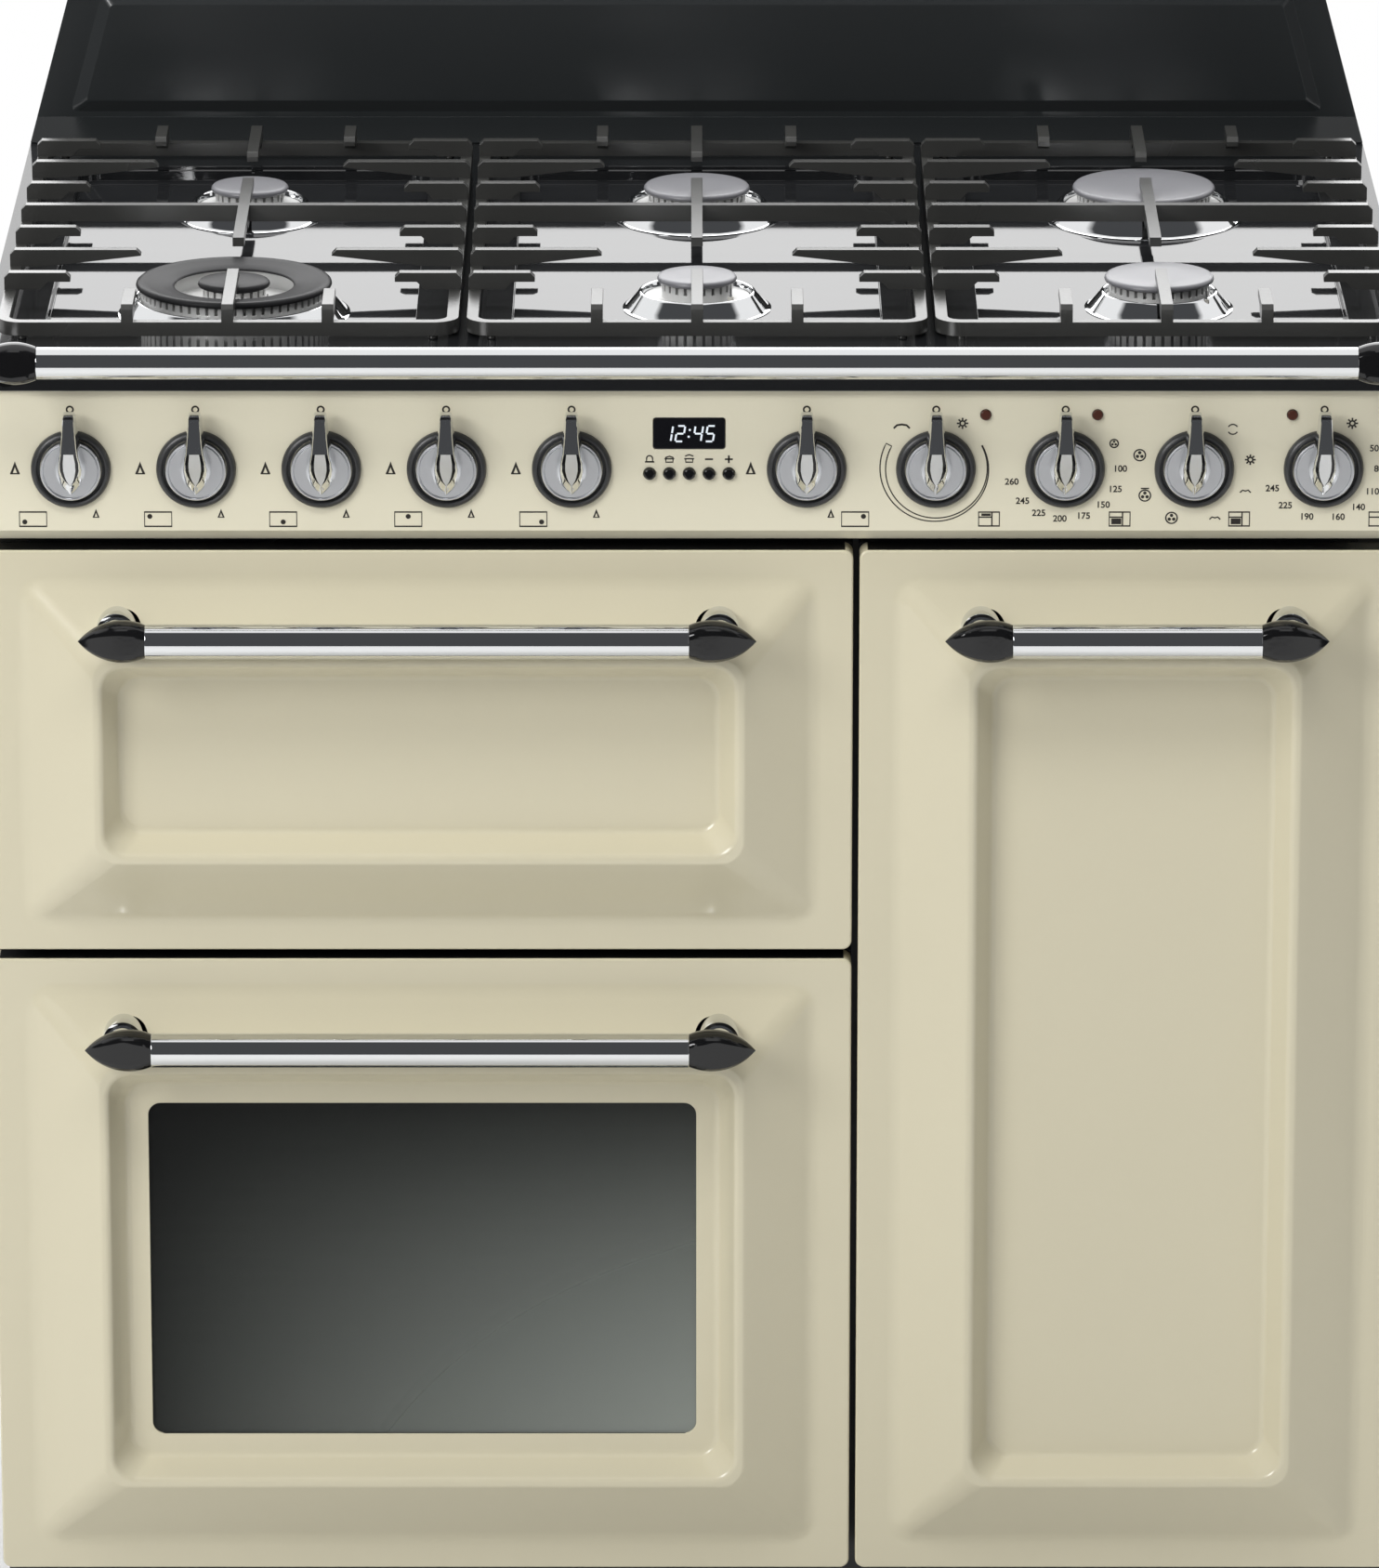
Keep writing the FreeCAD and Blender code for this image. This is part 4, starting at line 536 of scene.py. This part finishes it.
def words(text, x, z):
    """Figures set in a plain face, centred on a point of the panel."""
    curve = bpy.data.curves.new("figures", "FONT")
    curve.body = text
    curve.size = 0.0058
    curve.offset = 0.00012
    curve.align_x = "CENTER"
    curve.align_y = "CENTER"
    holder = bpy.data.objects.new("figures", curve)
    drawn = holder.to_mesh()
    points = [v.co.copy() for v in drawn.vertices]
    faces = [tuple(p.vertices) for p in drawn.polygons]
    ink_parts.append((points, faces, Matrix.Translation((x, panel_front - print_lift, z)) @ FORWARD))
    holder.to_mesh_clear()
    bpy.data.objects.remove(holder)
    bpy.data.curves.remove(curve)


def flame(x, z, size):
    right = [(0.8, 2), (1.8, -0.6), (3.1, -3.6), (3, -4.1)]
    outer = [(0, 4.3)] + right + [(-u, w) for u, w in reversed(right)]
    inner = [(u * 0.42, w * 0.45 - 1.4) for u, w in outer]
    outer, inner = ([(u * size, w * size) for u, w in line] for line in (outer, inner))
    band(outer, inner, x, z, True)


def frame_sign(x, z, wide, tall):
    u, w = wide / 2, tall / 2
    stroke([(-u, -w), (u, -w), (u, w), (-u, w)], sign_pen, x, z, True)


def rays(x, z, reach):
    """A small lamp sign: a ring with short rays."""
    circle(reach * 0.45, sign_pen, x, z, 16)
    for turn in range(0, 360, 45):
        stroke([polar(reach * 0.6, turn), polar(reach, turn)], sign_pen, x, z)


def fan_sign(x, z, reach):
    """A small fan sign: three round blades in a ring."""
    circle(reach, fan_pen, x, z)
    for turn in (90, 210, 330):
        flat(arc(reach * 0.3, 0, 330, 11, polar(reach * 0.45, turn)), x, z)


def roof_sign(x, z):
    stroke([(-3.4, -0.8), (-1.8, 0.8), (0, 0.2), (1.8, 0.8), (3.4, -0.8)], fine_pen, x, z)


def oven_sign(x, z, filled):
    """The cooker's front in small, with the oven that a knob works filled in."""
    frame_sign(x, z, 13, 9)
    stroke([(1.8, -4.2), (1.8, 4.2)], fine_pen, x, z)
    stroke([(-6.2, 1.2), (1.8, 1.2)], fine_pen, x, z)
    left, right, low, high = filled
    flat([(left, low), (right, low), (right, high), (left, high)], x, z)


in_row = sorted(knob_places.values(), key=lambda p: p.x)
burner_dots = [(-5.2, -1.8), (-5.2, 1.8), (0, -1.8), (0, 1.8), (5.2, -1.8), (5.2, 1.8)]
sign_drop = 0.0326
for centre in in_row:
    circle(2, bold_pen, centre.x, centre.z + 0.0384)
for centre, (u, w) in zip(in_row, burner_dots):
    flame(centre.x - 0.035, centre.z + 0.0006, 1)
    flame(centre.x + 0.0153, centre.z - 0.0288, 0.7)
    beside = 0.0305 if u > 0 and w > 0 else -0.0242
    frame_sign(centre.x + beside, centre.z - sign_drop, 17, 9.3)
    flat(arc(1.6, 0, 342, 19), centre.x + beside + u * MM, centre.z - sign_drop + w * MM)

grill, main_oven, function, tall_oven = in_row[6:]
heat_steps = 60
heat_turns = [152 + 236 * i / heat_steps for i in range(heat_steps + 1)]
heat_outer = [polar(35.3 - 2.6 * i / heat_steps, turn) for i, turn in enumerate(heat_turns)]
heat_inner = [polar(31.4 + 0.9 * i / heat_steps, turn) for i, turn in enumerate(heat_turns)]
stroke(heat_outer + heat_inner[::-1], 0.75, grill.x, grill.z, True)
stroke([(-5, -1.2), (-3, 0.8), (0, 1.3), (3, 0.8), (5, -1.2)], 1.26, grill.x - 0.0215, grill.z + 0.0275)
rays(grill.x + 0.0165, grill.z + 0.0295, 3.6)
main_field = (-5.2, 1.0, -3.4, 0.4)
for knob, beside, filled in ((grill, 0.0335, (-4.8, 1.0, 2.0, 3.6)), (main_oven, 0.0345, main_field),
                             (function, 0.0285, main_field), (tall_oven, 0.0355, (2.6, 5.4, -3.4, 3.4))):
    oven_sign(knob.x + beside, knob.z - 0.0325, filled)

dial_wide, dial_tall = 0.0345, 0.0325
for knob, dial in ((main_oven, {100: 0, 125: -24, 150: -46, 175: -70, 200: -95, 225: -118, 245: -140, 260: -165}),
                   (tall_oven, {50: 24, 80: 0, 110: -27, 140: -50, 160: -74, 190: -107, 225: -133, 245: -157})):
    for figure, turn in dial.items():
        words(str(figure), knob.x + dial_wide * cos(radians(turn)), knob.z + dial_tall * sin(radians(turn)))
fan_sign(main_oven.x + 0.0305, main_oven.z + 0.0165, 2.6)
rays(tall_oven.x + 0.0175, tall_oven.z + 0.0295, 3.6)
fan_sign(tall_oven.x + 0.0375, tall_oven.z + 0.0205, 2.6)
function_signs = {165: "fan", 210: "both", 247: "fan", 292: "roof", 335: "roof", 10: "lamp", 48: "ring"}
for turn, sign in function_signs.items():
    x = function.x + 0.0355 * cos(radians(turn))
    z = function.z + 0.0345 * sin(radians(turn))
    if sign in ("fan", "both"):
        fan_sign(x, z, 3.6)
    if sign == "both":
        stroke([(-2.6, 4.6), (2.6, 4.6)], fine_pen, x, z)
    if sign == "roof":
        roof_sign(x, z)
    if sign == "lamp":
        rays(x, z, 3.4)
    if sign == "ring":
        stroke(arc(3.2, 30, 150, 12), fine_pen, x, z)
        stroke(arc(3.2, 210, 330, 12), fine_pen, x, z)

button_spots = [sum((Vector(c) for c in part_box(f"button_{n}")), Vector()) / 2 for n in range(1, 6)]
sign_z = button_spots[0].z + 0.0093
bell, pot, hot_pot, minus, plus = (spot.x for spot in button_spots)
stroke(arc(1.9, 0, 180, 12, (0, 0.4)), fine_pen, bell, sign_z)
stroke([(-1.9, 0.4), (-1.9, -1.6), (1.9, -1.6), (1.9, 0.4)], fine_pen, bell, sign_z)
stroke([(-2.9, -1.7), (2.9, -1.7)], 0.98, bell, sign_z)
for x, lid in ((pot, 1.0), (hot_pot, 2.0)):
    stroke([(-2.2, 0.2), (-2.2, -1.9), (2.2, -1.9), (2.2, 0.2)], fine_pen, x, sign_z)
    stroke([(-3.1, 0.3), (3.1, 0.3)], fine_pen, x, sign_z)
    stroke([(-2.6, lid), (0, lid + 0.9), (2.6, lid)], fine_pen, x, sign_z)
stroke([(-2.5, 0), (2.5, 0)], bold_pen, minus, sign_z)
stroke([(-2.5, 0), (2.5, 0)], bold_pen, plus, sign_z)
stroke([(0, -2.5), (0, 2.5)], bold_pen, plus, sign_z)
fired_ink = coated("fired_ink", (0.022, 0.018, 0.013), 0.3, (0.3, 0.45), 0.05)
finish_piece(built("panel_prints", ink_parts), "cooker", fired_ink, [])


# Clock figures: four lit figures of seven bars each, leaning a little, with two dots between them.
# They glow through the clock window and are made as thin shapes just ahead of it.
BARS = {"a": [(-2, 5), (2, 5)], "g": [(-2, 0), (2, 0)], "d": [(-2, -5), (2, -5)], "f": [(-2.4, 4.6), (-2.4, 0.4)],
        "b": [(2.4, 4.6), (2.4, 0.4)], "e": [(-2.4, -0.4), (-2.4, -4.6)], "c": [(2.4, -0.4), (2.4, -4.6)]}
FIGURES = {"1": "bc", "2": "abged", "4": "fgbc", "5": "afgcd"}
lean, bar_pen, ahead = 0.16, 1.15, 0.0006
clock_low, clock_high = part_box("display_window")
clock_x = (clock_low[0] + clock_high[0]) / 2
clock_z = (clock_low[2] + clock_high[2]) / 2
ink_parts = []
for figure, across in zip("1245", (-13.2, -5.6, 5.6, 13.2)):
    for bar in FIGURES[figure]:
        stroke([(u + across + lean * w, w) for u, w in BARS[bar]], bar_pen, clock_x, clock_z)
for height in (-2, 2.4):
    flat(arc(0.75, 0, 330, 11, (lean * height, height)), clock_x, clock_z)
lit_figures, tree, shader = new_material("lit_figures")
place = add_node(tree, "ShaderNodeTexCoord").outputs["Object"]
glow = add_node(tree, "ShaderNodeTexNoise", {"Vector": place, "Scale": 900}).outputs["Fac"]
level = span(tree, glow, 0, 1, 0.8, 1)
tree.links.new(blend(tree, 1, (0.86, 0.93, 1, 1), level, "MULTIPLY"), shader.inputs["Emission Color"])
shader.inputs["Emission Strength"].default_value = 1
shader.inputs["Base Color"].default_value = (0.05, 0.05, 0.06, 1)
forward_parts = [(points, faces, Matrix.Translation((0, -ahead, 0)) @ there) for points, faces, there in ink_parts]
finish_piece(built("clock_figures", forward_parts), "cooker", lit_figures, [])


# Hob: one enamelled steel pressing with three wells, and an upstand folded with a raised field, bolted behind it.
# Both are glossy black. The deck's small fall to the front and the cove at the upstand's foot are in the finish.
def vitreous(name, colour, gloss, index, peel):
    """Fired glass enamel, which mirrors more than paint does at a low angle."""
    made = coated(name, colour, 0.2, gloss, peel)
    made.node_tree.nodes["Principled BSDF"].inputs["IOR"].default_value = index
    return made


def tilted(material, height_over):
    """The same finish on a face that is tilted as a height over the piece says."""
    tree = material.node_tree
    place = add_node(tree, "ShaderNodeTexCoord").outputs["Object"]
    apart = add_node(tree, "ShaderNodeSeparateXYZ", {0: place}).outputs
    tilt = add_node(tree, "ShaderNodeBump", {"Strength": 1, "Distance": 1, "Height": height_over(tree, apart)})
    grain = tree.nodes["Principled BSDF"].inputs["Normal"].links[0].from_node
    tree.links.new(tilt.outputs["Normal"], grain.inputs["Normal"])


hob_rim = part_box("hob_top")[1][2]
deck_fall, rim_fall = 0.16, -0.096
rim_from, rim_blend = hob_rim - 0.003, 0.0005


def deck_height(tree, apart):
    """The wells fall to the front and the rim falls to the back."""
    fall = span(tree, apart["Z"], rim_from - rim_blend, rim_from + rim_blend, deck_fall, rim_fall)
    return worked(tree, "MULTIPLY", apart["Y"], fall)


hob_enamel = vitreous("hob_enamel", (0.012, 0.0125, 0.0135), (0.04, 0.08), 1.8, 0.012)
tilted(hob_enamel, deck_height)
dress("hob_top", "hob_pressing", hob_enamel, 0.003, 4)

cove_high, cove_steep = 0.018, 1.4


def cove_height(tree, apart):
    """A cove at the foot of an upright face."""
    return span(tree, apart["Z"], hob_rim, hob_rim + cove_high, cove_steep * cove_high, 0)


upstand_enamel = vitreous("upstand_enamel", (0.02, 0.0225, 0.0235), (0.22, 0.28), 1.6, 0.02)
tilted(upstand_enamel, cove_height)
dress("splashback", "rear_upstand", upstand_enamel, 0.0025, 4, 12)


# Burners: a flared chrome skirt on the deck, a cast head with a ring of flame slots and a loose cap.
# A spark pin in a white ceramic sleeve stands beside each head.
burner_alloy = coated("burner_alloy", (0.62, 0.62, 0.61), 0.2, (0.28, 0.36), 0.05, metal=0.25)
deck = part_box("burner_cups")[0][2]
cross_bar_in, rear_reach = 0.267, 0.094
burner_spots = []
for side, front_reach in (("left", 0.162), ("middle", 0.148), ("right", 0.148)):
    grid_low, grid_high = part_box(f"pan_support_{side}")
    across = (grid_low[0] + grid_high[0]) / 2
    cross_bar = grid_low[1] + cross_bar_in
    burner_spots += [Vector((across, y, deck)) for y in (cross_bar + rear_reach, cross_bar - front_reach)]
wok_spot = burner_spots[1]
skirt_radii = [0.0475, 0.074, 0.055, 0.0475, 0.0655, 0.0475]
skirts = []
for spot, rim in zip(burner_spots, skirt_radii):
    shoulder = rim - 0.011
    flare = [(rim - 0.0007, 0.0009), (rim - 0.0016, 0.0013), (rim - 0.0022, 0.0019)]
    flare += [(rim - 0.0022 - 0.0077 * t, 0.0019 + 0.009 * t) for t in (0.25, 0.5, 0.75, 1)]
    crown = [(shoulder + 0.0006, 0.0115), (shoulder, 0.0119), (shoulder - 0.0007, 0.012),
             (shoulder - 0.0015, 0.0117), (shoulder - 0.002, 0.011)]
    inside = [(shoulder - 0.002, 0.004), (shoulder - 0.002, 0.0013), (0.0145, 0.0013), (0.0145, 0.0), (rim, 0.0)]
    skirt = [(rim, 0.0), (rim, 0.0007)] + flare + crown + inside
    skirts.append((*turned(skirt, 96), Matrix.Translation(spot)))
finish_piece(built("burner_skirts", skirts, 50), "cooker", chrome, ["burner_cups"])
dress("burner_heads", "burner_crowns", burner_alloy, 0.0004, 2)

cap_enamel = vitreous("cap_enamel", (0.15, 0.15, 0.162), (0.34, 0.42), 1.7, 0.08)
wok_enamel = vitreous("wok_enamel", (0.02, 0.02, 0.021), (0.3, 0.38), 1.14, 0.08)
lid_radii = [0.0255, None, 0.035, 0.0255, 0.047, 0.035]  # the wok burner has lids of its own
lid_top, lid_foot = 0.0221, 0.0181


def lid_line(radius, dome):
    """The outline of a flat cap with a softly rounded edge and a slightly raised middle."""
    return [(0.0, lid_top + dome), (radius * 0.5, lid_top + dome * 0.75), (radius - 0.003, lid_top),
            (radius - 0.0012, 0.0217), (radius - 0.0003, 0.0207), (radius, 0.0196), (radius - 0.0004, 0.0186),
            (radius - 0.0014, lid_foot), (0.0, lid_foot)]


lids = [(*turned(lid_line(radius, 0.0), 80), Matrix.Translation(spot))
        for spot, radius in zip(burner_spots, lid_radii) if radius]
finish_piece(built("burner_lids", lids, 50), body_of["burner_caps"], cap_enamel, ["burner_caps"])
wok_ring = [(0.038, 0.0182), (0.0382, 0.0188), (0.0395, 0.0194), (0.048, 0.0204), (0.0555, 0.0216),
            (0.059, lid_top), (0.0609, 0.0219), (0.0621, 0.0209), (0.0625, 0.0196), (0.062, 0.0186),
            (0.0605, lid_foot), (0.038, 0.0182)]
wok_lids = [(*turned(wok_ring, 110), Matrix.Translation(wok_spot)),
            (*turned(lid_line(0.023, 0.0008), 64), Matrix.Translation(wok_spot))]
finish_piece(built("wok_lids", wok_lids, 50), body_of["burner_caps"], wok_enamel, [])

pin_sizes = {"Foot": 0.003, "Height": 0.01, "Radius": 0.003, "Tip radius": 0.002}
upright_pins, given = pattern_tree("upright_pins", pin_sizes)
pin = add_node(upright_pins, "GeometryNodeMeshCone", {"Vertices": 20, "Radius Bottom": given["Radius"],
                                                      "Radius Top": given["Tip radius"], "Depth": given["Height"]})
foot = add_node(upright_pins, "ShaderNodeCombineXYZ", {"Z": given["Foot"]})
raised = add_node(upright_pins, "GeometryNodeTransform", {"Geometry": pin.outputs["Mesh"],
                                                          "Translation": foot.outputs[0]})
place_copies(upright_pins, given, given["Geometry"], raised.outputs[0], (0, 0, 0))
pin_reach = [0.0275, 0.0282, 0.0372, 0.0275, 0.0485, 0.0372]
pin_spots = [spot + Vector((0.78 * reach, -0.626 * reach, 0)) for spot, reach in zip(burner_spots, pin_reach)]
ceramic = coated("pin_ceramic", (0.62, 0.6, 0.55), 0.15, (0.25, 0.35), 0.1)
sleeves = set_out("spark_sleeves", upright_pins, pin_spots, [],
                  {"Foot": 0.003, "Height": 0.0085, "Radius": 0.0026, "Tip radius": 0.0019, "Material": ceramic})
finish_piece(sleeves, "cooker", ceramic, [])
needles = set_out("spark_needles", upright_pins, pin_spots, [],
                  {"Foot": 0.0112, "Height": 0.006, "Radius": 0.0009, "Tip radius": 0.0005,
                   "Material": plain_steel})
finish_piece(needles, "cooker", plain_steel, [])


# Pan supports: three cast iron grids in matt enamel, each a low frame with upright ribs and fingers.
# They stand on small feet on the hob's rim and lift straight off.
support_iron = vitreous("support_iron", (0.036, 0.036, 0.034), (0.24, 0.34), 1.72, 0.15)
for side in ("left", "middle", "right"):
    dress(f"pan_support_{side}", f"{side}_pan_grid", support_iron, 0.0012, 2)


# Front rail and door handles: chrome tubes held between pointed black end caps with a flat on the front.
# Each door cap sits on a chromed post that is screwed through the skin, each rail cap on a black one.
door_cap, rail_cap = 0.042, 0.04
bow_radius, bow_middle, bow_sunk = 0.036, 0.01403, 0.02265
flat_middle = 0.016
post_in, rail_post_drop = 0.019, 0.009


def cap_mesh(length, outward):
    """A pointed cap along X from the tube's end, turned to a bowed outline with its front cut flat."""
    points = []
    count, rows = 40, 26
    for row in range(rows):
        x = length * (1 - (1 - row / (rows - 1)) ** 1.35)
        along = x * door_cap / length
        radius = 0.0002
        if row < rows - 1:
            radius = (bow_radius ** 2 - (along - bow_middle) ** 2) ** 0.5 - bow_sunk
        off = along - flat_middle
        rise = 0.15 * (off / flat_middle) ** 2 if off < 0 else 0.1 * (off / (door_cap - flat_middle)) ** 2
        for i in range(count):
            a = 2 * pi * i / count
            points.append(Vector((outward * x, -min(cos(a), 0.72 + rise) * radius, sin(a) * radius)))
    return points, skinned(points, count)


def between_caps(bar, caps, tube, ends, length, body):
    """The tube of a handle or rail and the caps at both of its ends."""
    dress(bar, tube, chrome, 0.0006, 2)
    low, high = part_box(bar)
    line = (low[1] + high[1]) / 2
    height = (low[2] + high[2]) / 2
    sides = [(low[0], -1), (high[0], 1)]
    pair = built(ends, [(*cap_mesh(length, way), Matrix.Translation((x, line, height))) for x, way in sides], 26)
    finish_piece(pair, body, black_gloss, [caps])
    return [Vector((x + way * post_in, line, height)) for x, way in sides]


def posts_at(name, line, steps, spots):
    return built(name, [(*turned(line, steps), Matrix.Translation(spot) @ FORWARD) for spot in spots])


rail_spots = between_caps("front_rail_bar", "front_rail_caps", "towel_rail_tube", "towel_rail_ends", rail_cap,
                          "cooker")
rail_post = [(0.0, 0.0), (0.0065, 0.0), (0.0065, -0.038), (0.0, -0.038)]
lower_spots = [spot - Vector((0, 0, rail_post_drop)) for spot in rail_spots]
rail_posts = posts_at("towel_rail_posts", rail_post, 32, lower_spots)
finish_piece(rail_posts, "cooker", black_gloss, [])
door_post = [(0.0, 0.0), (0.0105, 0.0), (0.0105, -0.0185), (0.0124, -0.0188), (0.0128, -0.0194), (0.0128, -0.043),
             (0.0, -0.043)]
for door in ("upper", "lower", "right"):
    body = body_of[f"{door}_handle_bar"]
    spots = between_caps(f"{door}_handle_bar", f"{door}_handle_caps", f"{door}_handle_tube", f"{door}_handle_ends",
                         door_cap, body)
    finish_piece(posts_at(f"{door}_handle_posts", door_post, 40, spots), body, chrome, [])


# Doors: each is a deep-drawn cream skin with a raised ridge round a sunk field, and a dark liner.
# The lower left door has a window of two panes of smoked glass, set from behind.
def ground_coated(material):
    """The same finish with each level face that faces up painted near black, as painted shade for the gap above
    each door.
    """
    tree = material.node_tree
    base = tree.nodes["Principled BSDF"].inputs["Base Color"]
    facing = add_node(tree, "ShaderNodeTexCoord").outputs["Normal"]
    upward = add_node(tree, "ShaderNodeSeparateXYZ", {0: facing}).outputs["Z"]
    # Painted shade: faces that turn straight up are mixed to near black, for the dark gap above each door.
    level = span(tree, upward, 0.975, 0.995)
    tree.links.new(blend(tree, level, base.links[0].from_socket, (0.008, 0.008, 0.008, 1)), base)


door_enamel = coated("door_enamel", (0.655, 0.605, 0.445), 0.03, (0.16, 0.24), 0.06, clear=0.25)
# The doors' level top returns carry painted shade.
ground_coated(door_enamel)
for door in ("upper", "lower", "right"):
    dress(f"{door}_door_panel", f"{door}_door_skin", door_enamel, 0.0006, 2)
    dress(f"{door}_door_liner", f"{door}_door_back", oven_enamel, 0.001, 1)


def smoked_glass(name):
    """Dark glass that lets a little light through, with a painted reflection of the pale floor that grows towards
    the lower right.
    """
    made, tree, shader = new_material(name)
    place = add_node(tree, "ShaderNodeTexCoord").outputs["Object"]
    cloud = add_node(tree, "ShaderNodeTexNoise", {"Vector": place, "Scale": 6}).outputs["Fac"]
    tree.links.new(span(tree, cloud, 0, 1, 0.02, 0.05), shader.inputs["Roughness"])
    apart = add_node(tree, "ShaderNodeSeparateXYZ", {0: place}).outputs
    pane_low, pane_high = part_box("lower_door_glass")
    # Painted reflection: a pale colour that grows towards the lower right of the pane stands in for the floor
    # mirrored in the glass.
    across = span(tree, apart["X"], pane_low[0], pane_high[0])
    down = span(tree, apart["Z"], pane_high[2], pane_low[2])
    corner = worked(tree, "MULTIPLY", across, down)
    sides = worked(tree, "MULTIPLY", worked(tree, "ADD", across, down), 0.05)
    painted_reflection = worked(tree, "ADD", sides, corner)
    tint = blend(tree, painted_reflection, (0.004, 0.0045, 0.0045, 1), (0.54, 0.58, 0.54, 1))
    tree.links.new(tint, shader.inputs["Base Color"])
    shader.inputs["Specular IOR Level"].default_value = 0.2
    through = add_node(tree, "ShaderNodeBsdfTransparent", {"Color": (0.56, 0.58, 0.56, 1)})
    mixed = add_node(tree, "ShaderNodeMixShader", {0: 0.58, 1: shader.outputs[0], 2: through.outputs[0]})
    tree.links.new(mixed.outputs[0], tree.nodes["Material Output"].inputs["Surface"])
    return made


dress("lower_door_glass", "oven_window_panes", smoked_glass("door_glass"), 0.0005, 1)
